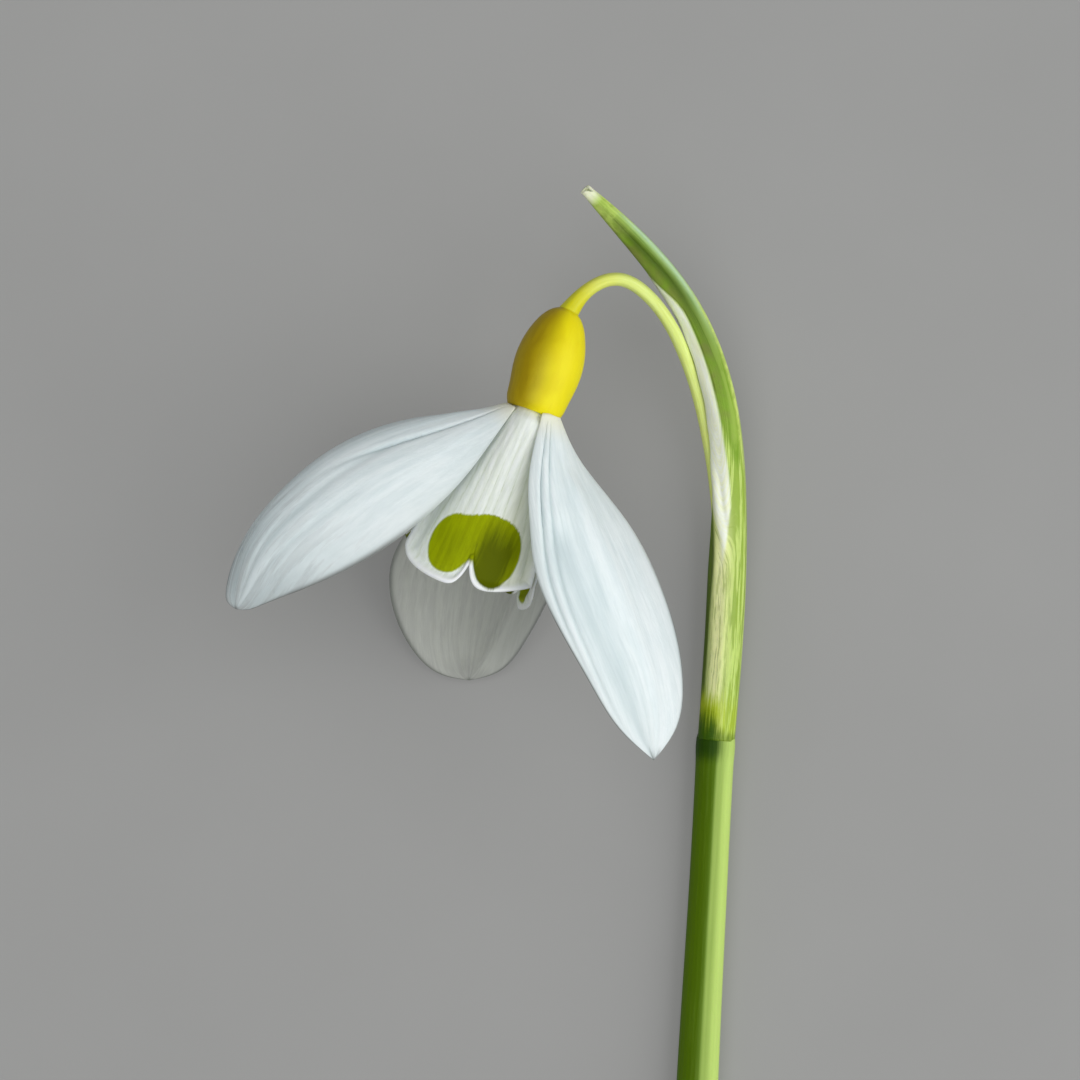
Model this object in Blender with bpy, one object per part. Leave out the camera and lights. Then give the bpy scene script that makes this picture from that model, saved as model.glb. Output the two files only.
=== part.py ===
"""A single snowdrop flower, picked and laid down: metres, +Z up, resting on z = 0.

The stalk lies along Y with its cut end at -Y. The petals face up, towards +Z, and the
petal at the back of the flower rests on the surface. All sizes below are in
millimetres and become metres where the meshes are made.
"""

import math

import bpy
import numpy as np

MM = 0.001

# ---- driving dimensions, in millimetres --------------------------------------------

# The flower hangs about an axis that runs from the ovary to the mouth of the petals.
FLOWER_BASE = np.array([3.3, 34.8, 13.0])
FLOWER_AXIS = np.array([-0.38, -0.92, 0.09])

PETAL_THICKNESS = 0.30
CLEARANCE = 0.30

# Outer petals: one margin, the midrib and the other margin, each from base to tip.
OUTER_PETALS = {
    "outer_tepal_left": (
        [(1.4, 35.3, 13.0), (-1.1, 34.6, 12.6), (-4.3, 34.3, 12.6), (-7.7, 33.5, 12.8),
         (-10.9, 31.8, 13.3), (-14.2, 29.0, 14.6), (-17.0, 25.6, 16.2), (-18.2, 22.3, 18.2),
         (-17.6, 20.7, 19.2)],
        [(1.6, 35.2, 13.8), (-1.7, 34.2, 15.2), (-5.5, 32.9, 16.8), (-9.5, 31.1, 18.0),
         (-13.1, 28.5, 18.8), (-16.1, 25.1, 19.3), (-17.6, 20.7, 19.2)],
        [(2.1, 35.0, 14.6), (0.7, 33.0, 16.2), (-1.1, 30.5, 17.9), (-3.5, 27.9, 19.4),
         (-6.3, 25.6, 20.2), (-9.8, 23.5, 20.6), (-13.0, 22.1, 20.4), (-15.6, 21.0, 19.8),
         (-17.6, 20.7, 19.2)],
    ),
    "outer_tepal_right": (
        [(4.0, 34.6, 14.9), (3.4, 32.3, 16.4), (3.0, 29.5, 18.2), (3.1, 26.7, 19.4),
         (3.5, 23.4, 20.4), (4.8, 20.1, 20.9), (7.1, 16.0, 20.8), (9.3, 12.5, 20.2),
         (11.8, 10.2, 19.0)],
        [(4.7, 34.5, 14.1), (5.1, 31.3, 15.9), (5.9, 28.1, 17.6), (7.3, 24.2, 19.0),
         (8.9, 20.0, 19.6), (10.8, 14.8, 19.6), (11.8, 10.2, 19.0)],
        [(5.2, 34.4, 13.1), (6.3, 31.9, 12.8), (8.1, 29.4, 12.9), (10.1, 26.8, 13.3),
         (11.9, 23.5, 14.2), (13.3, 19.6, 15.4), (13.9, 15.8, 16.6), (13.4, 12.4, 17.9),
         (11.8, 10.2, 19.0)],
    ),
    "outer_tepal_back": (
        [(2.3, 34.8, 11.5), (0.4, 32.4, 10.3), (-2.2, 29.7, 9.2), (-5.2, 26.9, 7.4),
         (-6.9, 23.8, 5.4), (-6.7, 20.5, 3.6), (-5.5, 17.9, 2.2), (-3.5, 16.0, 1.2),
         (-1.3, 15.5, 0.8)],
        [(3.3, 34.7, 10.9), (2.6, 32.3, 9.1), (1.5, 28.5, 6.2), (0.1, 24.5, 3.0),
         (-0.7, 20.7, 0.95), (-1.2, 17.7, 0.3), (-1.3, 15.5, 0.8)],
        [(4.2, 34.5, 11.5), (5.0, 32.0, 10.3), (5.5, 28.9, 9.2), (5.4, 25.6, 7.4),
         (5.0, 23.0, 5.6), (4.2, 20.9, 4.1), (2.7, 18.2, 2.6), (0.8, 16.1, 1.3),
         (-1.3, 15.5, 0.8)],
    ),
}

# Inner petals: three wings of one bell, each ending in two lobes with a notch between.
# Each has its turn about the axis and its half angle, in degrees, and its share of the
# full size. The front one is the largest, and its margins lie outside the other two.
INNER_PETALS = {
    "inner_tepal_front": (0, 60, 1.0),
    "inner_tepal_back_right": (121, 54, 0.95),
    "inner_tepal_back_left": (239, 54, 0.95),
}
INNER_LENGTH = 11.9          # from the base to the bottom of the notch
INNER_LOBE = 2.1             # how far the lobes reach past the notch
INNER_FLATNESS = 0.12        # how much closer to the axis the midrib lies than the margins
BELL_RADIUS = [(0, 1.25), (0.2, 2.35), (0.45, 3.8), (0.7, 4.95), (0.88, 5.35), (1, 5.4)]

# Ovary: its centre line from the top, which ends a clearance short of the petals, and
# its radius along that line.
OVARY_LINE = [(5.8, 42.0, 12.2), (5.0, 39.8, 12.5), (4.2, 37.3, 12.8)]
OVARY_RADIUS = [(0, 0.55), (0.07, 1.25), (0.2, 1.85), (0.4, 2.33), (0.62, 2.42),
                (0.85, 2.2), (1, 1.95)]

# Pedicel: from inside the sheath, over the arch and down to the ovary.
PEDICEL_LINE = [(16.6, 12.5, 1.5), (16.9, 21.3, 1.7), (16.5, 29.2, 2.5), (15.5, 34.9, 3.8),
                (13.9, 39.6, 5.9), (11.5, 43.1, 8.6), (9.3, 44.2, 10.4), (6.2, 42.5, 12.1)]
PEDICEL_RADIUS = [(0, 0.45), (0.5, 0.45), (0.93, 0.46), (1, 0.5)]

# Spathe: the line down the middle of the sheath, its radius, and how far its wall
# reaches round each side of the sheath's back, in degrees.
SPATHE_LINE = [(16.5, 11.3, 1.5), (17.1, 19.1, 1.6), (17.3, 28.5, 2.3), (16.6, 35.7, 3.8),
               (14.1, 42.4, 6.2), (9.5, 48.1, 9.0), (7.1, 50.5, 10.0)]
SPATHE_RADIUS = [(0, 1.38), (0.3, 1.4), (0.55, 1.33), (0.74, 1.08), (0.83, 0.88),
                 (0.93, 0.58), (1, 0.42)]
SPATHE_REACH = [(0, 166), (0.26, 166), (0.36, 140), (0.6, 136), (0.72, 105), (1, 70)]
SPATHE_THICKNESS = 0.34

# Scape: the solid stalk on the surface, from its cut end to the joint with the spathe.
SCAPE_LINE = [(13.6, -50.6, 1.5), (14.4, -31.4, 1.5), (15.3, -11.2, 1.5),
              (15.9, -0.4, 1.5), (16.5, 11.0, 1.5)]
SCAPE_RADIUS = [(0, 1.5), (0.6, 1.5), (0.93, 1.36), (1, 1.42)]
SCAPE_FLATNESS = 0.97        # height of the stalk's section over its width

# Stamens and style, in the middle of the bell.
STAMEN_COUNT = 6
STAMEN_CIRCLE = 0.75         # radius of the ring that the filaments stand on
STAMEN_SPREAD = 0.9          # radius of the ring of the anthers' tips
STAMEN_LENGTH = 6.4
STAMEN_RADIUS = [(0, 0.14), (0.22, 0.14), (0.3, 0.34), (0.45, 0.38), (0.8, 0.22), (1, 0.06)]
STYLE_LENGTH = 8.2
STYLE_RADIUS = [(0, 0.2), (0.5, 0.17), (0.95, 0.13), (1, 0.1)]

# Colours, linear, and roughness.
WHITE = ((0.80, 0.84, 0.86), 0.55)
YELLOW = ((0.64, 0.50, 0.01), 0.40)
YELLOW_GREEN = ((0.55, 0.60, 0.10), 0.42)
GREEN = ((0.12, 0.24, 0.02), 0.40)
SHEATH_GREEN = ((0.34, 0.45, 0.12), 0.45)
ORANGE = ((0.80, 0.38, 0.03), 0.60)


# ---- curves and surfaces -----------------------------------------------------------


def natural_cubic(places, values, at):
    """Read a natural cubic spline through values at the given places."""
    places = np.asarray(places, float)
    values = np.asarray(values, float).reshape(len(places), -1)
    gap = np.diff(places)
    count = len(places)
    system = np.eye(count)
    right = np.zeros_like(values)
    slope = np.diff(values, axis=0) / gap[:, None]
    for i in range(1, count - 1):
        system[i, i - 1:i + 2] = gap[i - 1], 2 * (gap[i - 1] + gap[i]), gap[i]
        right[i] = 6 * (slope[i] - slope[i - 1])
    bend = np.linalg.solve(system, right)
    at = np.clip(np.asarray(at, float), places[0], places[-1])
    i = np.clip(np.searchsorted(places, at, side="right") - 1, 0, count - 2)
    width = gap[i][:, None]
    after = ((at - places[i])[:, None]) / width
    before = 1 - after
    sag = (before ** 3 - before) * bend[i] + (after ** 3 - after) * bend[i + 1]
    return before * values[i] + after * values[i + 1] + sag * width ** 2 / 6


def along(points, at):
    """Points at fractions of the way along a smooth line through the given points."""
    points = np.asarray(points, float)
    steps = np.linalg.norm(np.diff(points, axis=0), axis=1)
    places = np.concatenate([[0], np.cumsum(steps)]) / steps.sum()
    return natural_cubic(places, points, at)


def value(pairs, at):
    """A size that changes smoothly, from pairs of a fraction and the size there."""
    places, sizes = zip(*pairs)
    return natural_cubic(places, sizes, at)[:, 0]


def unit(vectors):
    """The same directions with a length of one."""
    return vectors / np.linalg.norm(vectors, axis=-1, keepdims=True)


def frames(line, at):
    """Points of a line with, at each, its level side direction and its upper direction."""
    centre = along(line, at)
    forward = unit(np.gradient(centre, at, axis=0))
    side = unit(np.cross(forward, [0.0, 0.0, 1.0]))
    upper = np.cross(side, forward)
    return centre, side, upper


def petal_surface(first, midrib, second, rows, columns):
    """Parabolas across the petal, from one margin over the midrib to the other."""
    at = np.linspace(0, 1, rows)
    across = np.linspace(-1, 1, columns)[None, :, None]
    first, midrib, second = (along(rail, at)[:, None] for rail in (first, midrib, second))
    slant = (second - first) / 2
    arch = (first + second) / 2 - midrib
    return midrib + across * slant + across ** 2 * arch


def bell_directions():
    """Axis of the flower, the direction of its upper side and the direction to +X."""
    axis = unit(FLOWER_AXIS)
    upper = unit(np.array([0.0, 0.0, 1.0]) - axis[2] * axis)
    return axis, upper, np.cross(upper, axis)


def inner_petal_surface(turn, half_angle, size, rows, columns):
    """One wing of the bell: its length follows two half ellipses beside the notch."""
    axis, upper, side = bell_directions()
    at = np.linspace(0, 1, rows)[:, None]
    across = np.linspace(-1, 1, columns)[None, :]
    lobe = np.sqrt(np.clip(1 - ((np.abs(across) - 0.5) / 0.5) ** 2, 0, 1))
    length = at * (INNER_LENGTH + INNER_LOBE * lobe)
    part = length / (INNER_LENGTH + INNER_LOBE)
    length = size * length
    radius = value(BELL_RADIUS, part.ravel()).reshape(part.shape)
    radius = size * radius * (1 - INNER_FLATNESS * part * (1 - across ** 2))
    angle = np.radians(turn + half_angle * across)
    outward = np.cos(angle)[..., None] * upper + np.sin(angle)[..., None] * side
    return FLOWER_BASE + length[..., None] * axis + radius[..., None] * outward


def tube(line, radii, rows, sides, flatness=1.0):
    """Rings around a line, open at both ends."""
    at = np.linspace(0, 1, rows)
    centre, side, upper = frames(line, at)
    angle = np.arange(sides)[None, :, None] * 2 * math.pi / sides
    ring = np.cos(angle) * side[:, None] + flatness * np.sin(angle) * upper[:, None]
    return centre[:, None] + value(radii, at)[:, None, None] * ring


def spathe_surface(rows, columns):
    """The wall of the sheath, open along the side that the pedicel leaves by."""
    at = np.linspace(0, 1, rows)
    centre, side, upper = frames(SPATHE_LINE, at)
    reach = np.radians(value(SPATHE_REACH, at))
    angle = (reach[:, None] * np.linspace(-1, 1, columns)[None, :])[..., None]
    middle = (value(SPATHE_RADIUS, at) - SPATHE_THICKNESS / 2)[:, None, None]
    return centre[:, None] + middle * (np.cos(angle) * side[:, None] + np.sin(angle) * upper[:, None])


# ---- pieces ------------------------------------------------------------------------


def make_material(name, look):
    """A plain Principled material from a colour and a roughness."""
    colour, roughness = look
    material = bpy.data.materials.new(name)
    material.use_nodes = True
    shader = material.node_tree.nodes["Principled BSDF"]
    shader.inputs["Base Color"].default_value = (*colour, 1.0)
    shader.inputs["Roughness"].default_value = roughness
    shader.inputs["Metallic"].default_value = 0.0
    return material


def make_piece(name, points, faces, look):
    """One named object from points in millimetres and faces."""
    mesh = bpy.data.meshes.new(name)
    mesh.from_pydata((np.asarray(points) * MM).tolist(), [], faces)
    mesh.validate()
    mesh.shade_smooth()
    mesh.set_sharp_from_angle(angle=math.radians(50))
    mesh.materials.append(make_material(name, look))
    piece = bpy.data.objects.new(name, mesh)
    bpy.context.scene.collection.objects.link(piece)
    return piece


def make_sheet(name, grid, thickness, look, pointed=False):
    """A thin piece: a grid of points given a thickness; a pointed one ends in one point."""
    rows, columns = grid.shape[:2]
    full_rows = rows - 1 if pointed else rows
    points = grid[:full_rows].reshape(-1, 3)
    faces = []
    for i in range(full_rows - 1):
        for j in range(columns - 1):
            corner = i * columns + j
            faces.append((corner, corner + 1, corner + columns + 1, corner + columns))
    if pointed:
        tip = len(points)
        points = np.vstack([points, grid[-1, columns // 2]])
        last = (full_rows - 1) * columns
        faces += [(last + j, last + j + 1, tip) for j in range(columns - 1)]
    piece = make_piece(name, points, faces, look)
    wall = piece.modifiers.new("wall", "SOLIDIFY")
    wall.thickness = thickness * MM
    wall.offset = 0
    wall.use_even_offset = True
    return piece


def make_rod(name, rings, look):
    """A solid piece from rings, with a flat cap at each end."""
    rows, sides = rings.shape[:2]
    faces = []
    for i in range(rows - 1):
        for j in range(sides):
            here, beside = i * sides + j, i * sides + (j + 1) % sides
            faces.append((here, here + sides, beside + sides, beside))
    faces.append(tuple(range(sides)))
    faces.append(tuple(reversed(range((rows - 1) * sides, rows * sides))))
    return make_piece(name, rings.reshape(-1, 3), faces, look)


def build_outer_petals():
    """Three outer petals, each a shallow spoon."""
    for name, (first, midrib, second) in OUTER_PETALS.items():
        surface = petal_surface(first, midrib, second, rows=22, columns=11)
        make_sheet(name, surface, PETAL_THICKNESS, WHITE, pointed=True)


def build_inner_petals():
    """Three inner petals around the axis, notched at their ends."""
    for name, (turn, half_angle, size) in INNER_PETALS.items():
        surface = inner_petal_surface(turn, half_angle, size, rows=13, columns=17)
        make_sheet(name, surface, PETAL_THICKNESS, WHITE)


def build_stamens():
    """Six stamens in a ring around one longer style."""
    axis, upper, side = bell_directions()
    foot = FLOWER_BASE
    for index in range(STAMEN_COUNT):
        angle = math.radians(30 + 360 / STAMEN_COUNT * index)
        outward = math.cos(angle) * upper + math.sin(angle) * side
        start = foot + STAMEN_CIRCLE * outward
        middle = foot + STAMEN_SPREAD * outward + 0.4 * STAMEN_LENGTH * axis
        end = foot + STAMEN_SPREAD * outward + STAMEN_LENGTH * axis
        make_rod(f"stamen_{index + 1}", tube([start, middle, end], STAMEN_RADIUS, 9, 8), ORANGE)
    style = [foot, foot + 0.5 * STYLE_LENGTH * axis, foot + STYLE_LENGTH * axis]
    make_rod("style", tube(style, STYLE_RADIUS, 5, 8), WHITE)


def build_stalk():
    """The scape, the sheath on its top, the pedicel and the ovary."""
    make_rod("scape", tube(SCAPE_LINE, SCAPE_RADIUS, 16, 16, SCAPE_FLATNESS), GREEN)
    make_sheet("spathe", spathe_surface(rows=44, columns=15), SPATHE_THICKNESS, SHEATH_GREEN)
    make_rod("pedicel", tube(PEDICEL_LINE, PEDICEL_RADIUS, 44, 10), YELLOW_GREEN)
    ovary_line = [*OVARY_LINE, FLOWER_BASE - CLEARANCE * bell_directions()[0]]
    make_rod("ovary", tube(ovary_line, OVARY_RADIUS, 16, 20), YELLOW)


def main():
    """Clear the scene and build the flower."""
    for old in list(bpy.data.objects):
        bpy.data.objects.remove(old, do_unlink=True)
    build_stalk()
    build_outer_petals()
    build_inner_petals()
    build_stamens()


main()
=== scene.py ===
"""Looks of a single snowdrop flower, picked and laid down on a plain floor.

Lengths are in millimetres until a mesh is made, and the floor is at z = 0. The stalk
lies along Y, the petals face up, and each visible piece stands for one node of the
frame. Every surface is a function of two parameters, worked out as whole arrays.
"""

import logging
import math
from collections.abc import Sequence
from dataclasses import dataclass, field
from enum import Enum

import bpy
import numpy as np
from numpy.typing import NDArray
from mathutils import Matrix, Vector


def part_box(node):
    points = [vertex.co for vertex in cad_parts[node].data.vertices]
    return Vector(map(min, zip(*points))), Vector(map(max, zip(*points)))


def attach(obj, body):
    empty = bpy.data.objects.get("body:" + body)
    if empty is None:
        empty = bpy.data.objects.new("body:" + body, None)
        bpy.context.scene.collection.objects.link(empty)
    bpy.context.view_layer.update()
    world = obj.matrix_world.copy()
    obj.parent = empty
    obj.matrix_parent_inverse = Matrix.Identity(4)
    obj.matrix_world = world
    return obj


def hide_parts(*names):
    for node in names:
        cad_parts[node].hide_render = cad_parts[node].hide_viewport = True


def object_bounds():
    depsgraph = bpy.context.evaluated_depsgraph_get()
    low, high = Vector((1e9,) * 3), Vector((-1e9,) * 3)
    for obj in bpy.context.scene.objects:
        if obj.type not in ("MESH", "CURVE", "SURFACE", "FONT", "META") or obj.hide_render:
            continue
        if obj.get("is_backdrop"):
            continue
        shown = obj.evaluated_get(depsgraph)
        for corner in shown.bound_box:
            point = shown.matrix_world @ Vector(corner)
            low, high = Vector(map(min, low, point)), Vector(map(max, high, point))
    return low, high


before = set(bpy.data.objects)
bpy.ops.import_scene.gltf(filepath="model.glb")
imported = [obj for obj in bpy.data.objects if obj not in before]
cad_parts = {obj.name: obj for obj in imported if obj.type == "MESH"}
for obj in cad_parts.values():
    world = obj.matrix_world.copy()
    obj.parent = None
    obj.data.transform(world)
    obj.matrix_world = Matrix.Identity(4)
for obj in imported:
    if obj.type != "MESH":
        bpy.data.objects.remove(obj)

Array = NDArray[np.float64]
Point = tuple[float, float, float]
Knot = tuple[float, float]
Colour = tuple[float, float, float]

MM = 0.001
LOG = logging.getLogger("snowdrop")

FLOWER_BASE = np.array([3.3, 34.8, 13.0])
FLOWER_AXIS = np.array([-0.38, -0.92, 0.09])
BELL_RADIUS = [(0, 1.25), (0.2, 2.35), (0.45, 3.8), (0.7, 4.95), (0.88, 5.35), (1, 5.4)]


class Cap(Enum):
    """How an end of a closed surface is shut."""

    POINT = "all sides meet in one point"
    ZIP = "the upper and the lower side of a thin wall are joined"


class Slot(Enum):
    """The record's material slots."""

    SCAPE = "scape"
    SPATHE = "spathe"
    PEDICEL = "pedicel"
    OVARY = "ovary"
    OUTER = "outer_tepal"
    INNER = "inner_tepal"
    ANTHER = "anther"
    STYLE = "style"


# ---- curves ------------------------------------------------------------------------


def natural_cubic(places: Array, values: Array, at: Array) -> Array:
    """Read a natural cubic spline through values at rising places.

    Between two knots the value is the straight blend of both, plus each knot's bend
    times (w cubed minus w), where w is the share of that knot.

    Args:
        places: the parameter of each knot, rising.
        values: one row for each knot.
        at: the parameters to read, of any shape.

    Returns:
        One row for each entry of at.
    """
    gap = np.diff(places)
    slope = np.diff(values, axis=0) / gap[:, None]
    inner = np.arange(1, len(places) - 1)
    system = np.eye(len(places))
    system[inner, inner - 1] = gap[:-1]
    system[inner, inner] = 2 * (gap[:-1] + gap[1:])
    system[inner, inner + 1] = gap[1:]
    right = np.zeros_like(values)
    right[1:-1] = 6 * np.diff(slope, axis=0)
    bend = np.linalg.solve(system, right)
    at = np.clip(at, places[0], places[-1])
    i = np.clip(np.searchsorted(places, at, side="right") - 1, 0, len(places) - 2)
    width = gap[i][..., None]
    after = (at - places[i])[..., None] / width
    before = 1 - after
    sag = (before ** 3 - before) * bend[i] + (after ** 3 - after) * bend[i + 1]
    return before * values[i] + after * values[i + 1] + sag * width ** 2 / 6


def path(points: list[Point], at: Array) -> Array:
    """Points on a smooth line, at fractions of the way along its given points.

    Args:
        points: the points that the line passes through.
        at: fractions from 0 to 1, of any shape.

    Returns:
        An array with one more axis than at, of length 3.
    """
    rail = np.asarray(points, float)
    steps = np.linalg.norm(np.diff(rail, axis=0), axis=1)
    return natural_cubic(np.concatenate([[0], np.cumsum(steps)]) / steps.sum(), rail, at)


def profile(knots: Sequence[Knot], at: Array) -> Array:
    """A size that changes smoothly, from pairs of a fraction and the size there.

    Args:
        knots: pairs of a fraction and a size.
        at: fractions, of any shape.

    Returns:
        The sizes, in the shape of at.
    """
    pairs = np.asarray(knots, float)
    return natural_cubic(pairs[:, 0], pairs[:, 1:], at)[..., 0]


def unit(vectors: Array) -> Array:
    """The same directions with a length of one."""
    return vectors / np.linalg.norm(vectors, axis=-1, keepdims=True)


def ease(low: float, high: float, at: Array) -> Array:
    """Rise from 0 at low to 1 at high as 3 t squared minus 2 t cubed."""
    t = np.clip((at - low) / (high - low), 0, 1)
    return t * t * (3 - 2 * t)


def hill(centre: float, width: float, at: Array) -> Array:
    """A bell curve of height 1: e to the minus of the squared distance over the width."""
    return np.exp(-(((at - centre) / width) ** 2))


def frames(points: list[Point], at: Array) -> tuple[Array, Array, Array]:
    """Points of a line, each with a level side direction and an upper direction.

    The side direction is the way forward turned a quarter to the right and kept
    level, and the upper direction stands on both.

    Args:
        points: the points that the line passes through.
        at: fractions from 0 to 1, of any shape.

    Returns:
        The points, the side directions and the upper directions.
    """
    near = 1e-4
    forward = unit(path(points, at + near) - path(points, at - near))
    side = unit(np.cross(forward, [0.0, 0.0, 1.0]))
    return path(points, at), side, np.cross(side, forward)


def bell_directions() -> tuple[Array, Array, Array]:
    """The flower's axis, and across it the upper direction and the one to +X."""
    axis = unit(FLOWER_AXIS)
    upper = unit(np.array([0.0, 0.0, 1.0]) - axis[2] * axis)
    return axis, upper, np.cross(upper, axis)


# ---- meshes ------------------------------------------------------------------------


@dataclass
class Skin:
    """A closed surface: rings of points, and how it is shut at each end.

    Attributes:
        rings: points in millimetres, as rows by places round the ring by 3.
        start: how the first ring is shut.
        end: how the last ring is shut.
        marks: values for the materials, each in the shape of the rings.
    """

    rings: Array
    start: Cap
    end: Cap
    marks: dict[str, Array] = field(default_factory=dict)

    def faces(self) -> list[list[int]]:
        """Quads between neighbouring rings, and the faces that shut both ends.

        Returns:
            The vertex numbers of each face.
        """
        rows, sides = self.rings.shape[:2]
        row = np.arange(rows - 1)[:, None] * sides
        place = np.arange(sides)[None, :]
        beside = (place + 1) % sides
        quads = np.stack([row + place, row + beside, row + sides + beside,
                          row + sides + place], axis=-1).reshape(-1, 4).tolist()
        last = (rows - 1) * sides
        return quads + self._shut(self.start, 0, rows * sides, True) + self._shut(
            self.end, last, rows * sides + 1, False)

    def _shut(self, cap: Cap, first: int, centre: int, backwards: bool) -> list[list[int]]:
        """Faces over one end.

        Args:
            cap: how the end is shut.
            first: number of the ring's first vertex.
            centre: number of the vertex in the middle of this end.
            backwards: True at the start, where faces turn the other way.

        Returns:
            The vertex numbers of each face.
        """
        sides = self.rings.shape[1]
        place = np.arange(sides)
        if cap is Cap.POINT:
            ends = np.stack([place, (place + 1) % sides, np.full(sides, centre - first)], 1)
            shut = (ends + first).tolist()
        else:
            upper = np.arange(1, sides // 2 - 1)
            strip = np.stack([upper, upper + 1, sides - upper - 1, sides - upper], 1)
            corners = [[0, 1, sides - 1], [sides // 2 - 1, sides // 2, sides // 2 + 1]]
            shut = [[first + i for i in face] for face in strip.tolist() + corners]
        return [face[::-1] for face in shut] if backwards else shut

    def make(self, name: str) -> bpy.types.Object:
        """Put the surface into a mesh object whose faces point outwards.

        Args:
            name: the object's name.

        Returns:
            The new object.
        """
        ends = np.stack([self.rings[0].mean(0), self.rings[-1].mean(0)])
        points = np.vstack([self.rings.reshape(-1, 3), ends]) * MM
        faces = self.faces()
        if signed_volume(points, faces) < 0:
            faces = [face[::-1] for face in faces]
        used, renumbered = np.unique(np.concatenate(faces), return_inverse=True)
        cuts = np.cumsum([len(face) for face in faces])[:-1]
        mesh = bpy.data.meshes.new(name)
        mesh.from_pydata(points[used].tolist(), [],
                         [part.tolist() for part in np.split(renumbered, cuts)])
        for mark, values in self.marks.items():
            store_mark(mesh, mark, values, used)
        mesh.validate()
        mesh.shade_smooth()
        piece = bpy.data.objects.new(name, mesh)
        bpy.context.scene.collection.objects.link(piece)
        return piece


def signed_volume(points: Array, faces: list[list[int]]) -> float:
    """A sixth of the sum of each triangle's corner, crossed and dotted: its volume.

    Args:
        points: the vertices.
        faces: the vertex numbers of each face, of three or four corners.

    Returns:
        The volume, below zero where the faces point inwards.
    """
    split = [[f[0], f[i], f[i + 1]] for f in faces for i in range(1, len(f) - 1)]
    a, b, c = (points[np.array(split)[:, i]] for i in range(3))
    return float(np.einsum("ij,ij->i", a, np.cross(b, c)).sum() / 6)


def store_mark(mesh: bpy.types.Mesh, name: str, values: Array, used: Array) -> None:
    """Keep a value, or a vector, at each vertex for the materials to read.

    Args:
        mesh: the mesh to write to.
        name: the attribute's name.
        values: one value or one vector for each ring point.
        used: the numbers of the points that the mesh kept, end points last.
    """
    wide = values.ndim == 3
    flat = values.reshape(-1, 3) if wide else values.reshape(-1, 1)
    ends = np.stack([flat[: values.shape[1]].mean(0), flat[-values.shape[1]:].mean(0)])
    kept = np.vstack([flat, ends])[used]
    mark = mesh.attributes.new(name, "FLOAT_VECTOR" if wide else "FLOAT", "POINT")
    mark.data.foreach_set("vector" if wide else "value", kept.astype(np.float32).ravel())


def both_sides(values: Array) -> Array:
    """Carry one value for each column of a thin wall round its ring: over and back."""
    return np.concatenate([values, values[:, -2:0:-1]], axis=1)


def thin_wall(middle: Array, thickness: Array, end: Cap, marks: dict[str, Array]) -> Skin:
    """Give a sheet its thickness, half to each side along its own normals.

    The normal is the cross product of the two directions of the grid. The margins
    keep one shared row of points, so the wall is closed all round.

    Args:
        middle: a grid of points, as rows by columns by 3.
        thickness: the wall's thickness at each point of the grid.
        end: how the last row is shut.
        marks: values for the materials, for each row, each column or each point.

    Returns:
        The closed surface.
    """
    along, across = np.gradient(middle, axis=0), np.gradient(middle, axis=1)
    if end is Cap.POINT:
        along[-1], across[-1] = along[-2], across[-2]
    normal = unit(np.cross(along, across))
    offset = thickness[..., None] / 2 * normal
    rings = np.concatenate([middle + offset, (middle - offset)[:, -2:0:-1]], axis=1)
    spread = {name: np.broadcast_to(values, middle.shape[:values.ndim])
              for name, values in marks.items()}
    return Skin(rings, Cap.ZIP, end, {name: both_sides(spread[name]) for name in spread})



def rod(points: list[Point], radii: Array, at: Array, angle: Array) -> Array:
    """Rings round a line: centre plus radius times (cos, sin) of the angle.

    Args:
        points: the points that the line passes through.
        radii: the radius at each row, or at each row and angle.
        at: fractions along the line, one for each row.
        angle: angles round the ring.

    Returns:
        The rings, as rows by angles by 3.
    """
    centre, side, upper = frames(points, at)
    turn = angle[None, :, None]
    ring = np.cos(turn) * side[:, None] + np.sin(turn) * upper[:, None]
    return centre[:, None] + radii[..., None] * ring


def round_angles(sides: int) -> Array:
    """Angles that share out a full turn."""
    return np.arange(sides) * 2 * math.pi / sides


def rod_skin(rings: Array, angle: Array, girth: float, **marks: Array) -> Skin:
    """A rod's closed surface, with its marks and the lie of its unrolled skin.

    The lie is girth times (cos, sin) of the angle and the length along the rod.

    Args:
        rings: the rod's rings.
        angle: the angles round them.
        girth: the radius that stands for the skin, in millimetres.
        marks: values for the materials, for each row, each angle or each point.

    Returns:
        The surface, shut in a point at both ends.
    """
    steps = np.linalg.norm(np.diff(rings.mean(1), axis=0), axis=1)
    length = np.concatenate([[0], np.cumsum(steps)])[:, None]
    lie = np.broadcast_arrays(girth * np.cos(angle), girth * np.sin(angle), length)
    spread = {name: np.broadcast_to(values, rings.shape[:2]) for name, values in marks.items()}
    return Skin(rings, Cap.POINT, Cap.POINT, {"lie": np.stack(lie, axis=-1), **spread})


# ---- nodes for the finishes ----------------------------------------------------------


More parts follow.
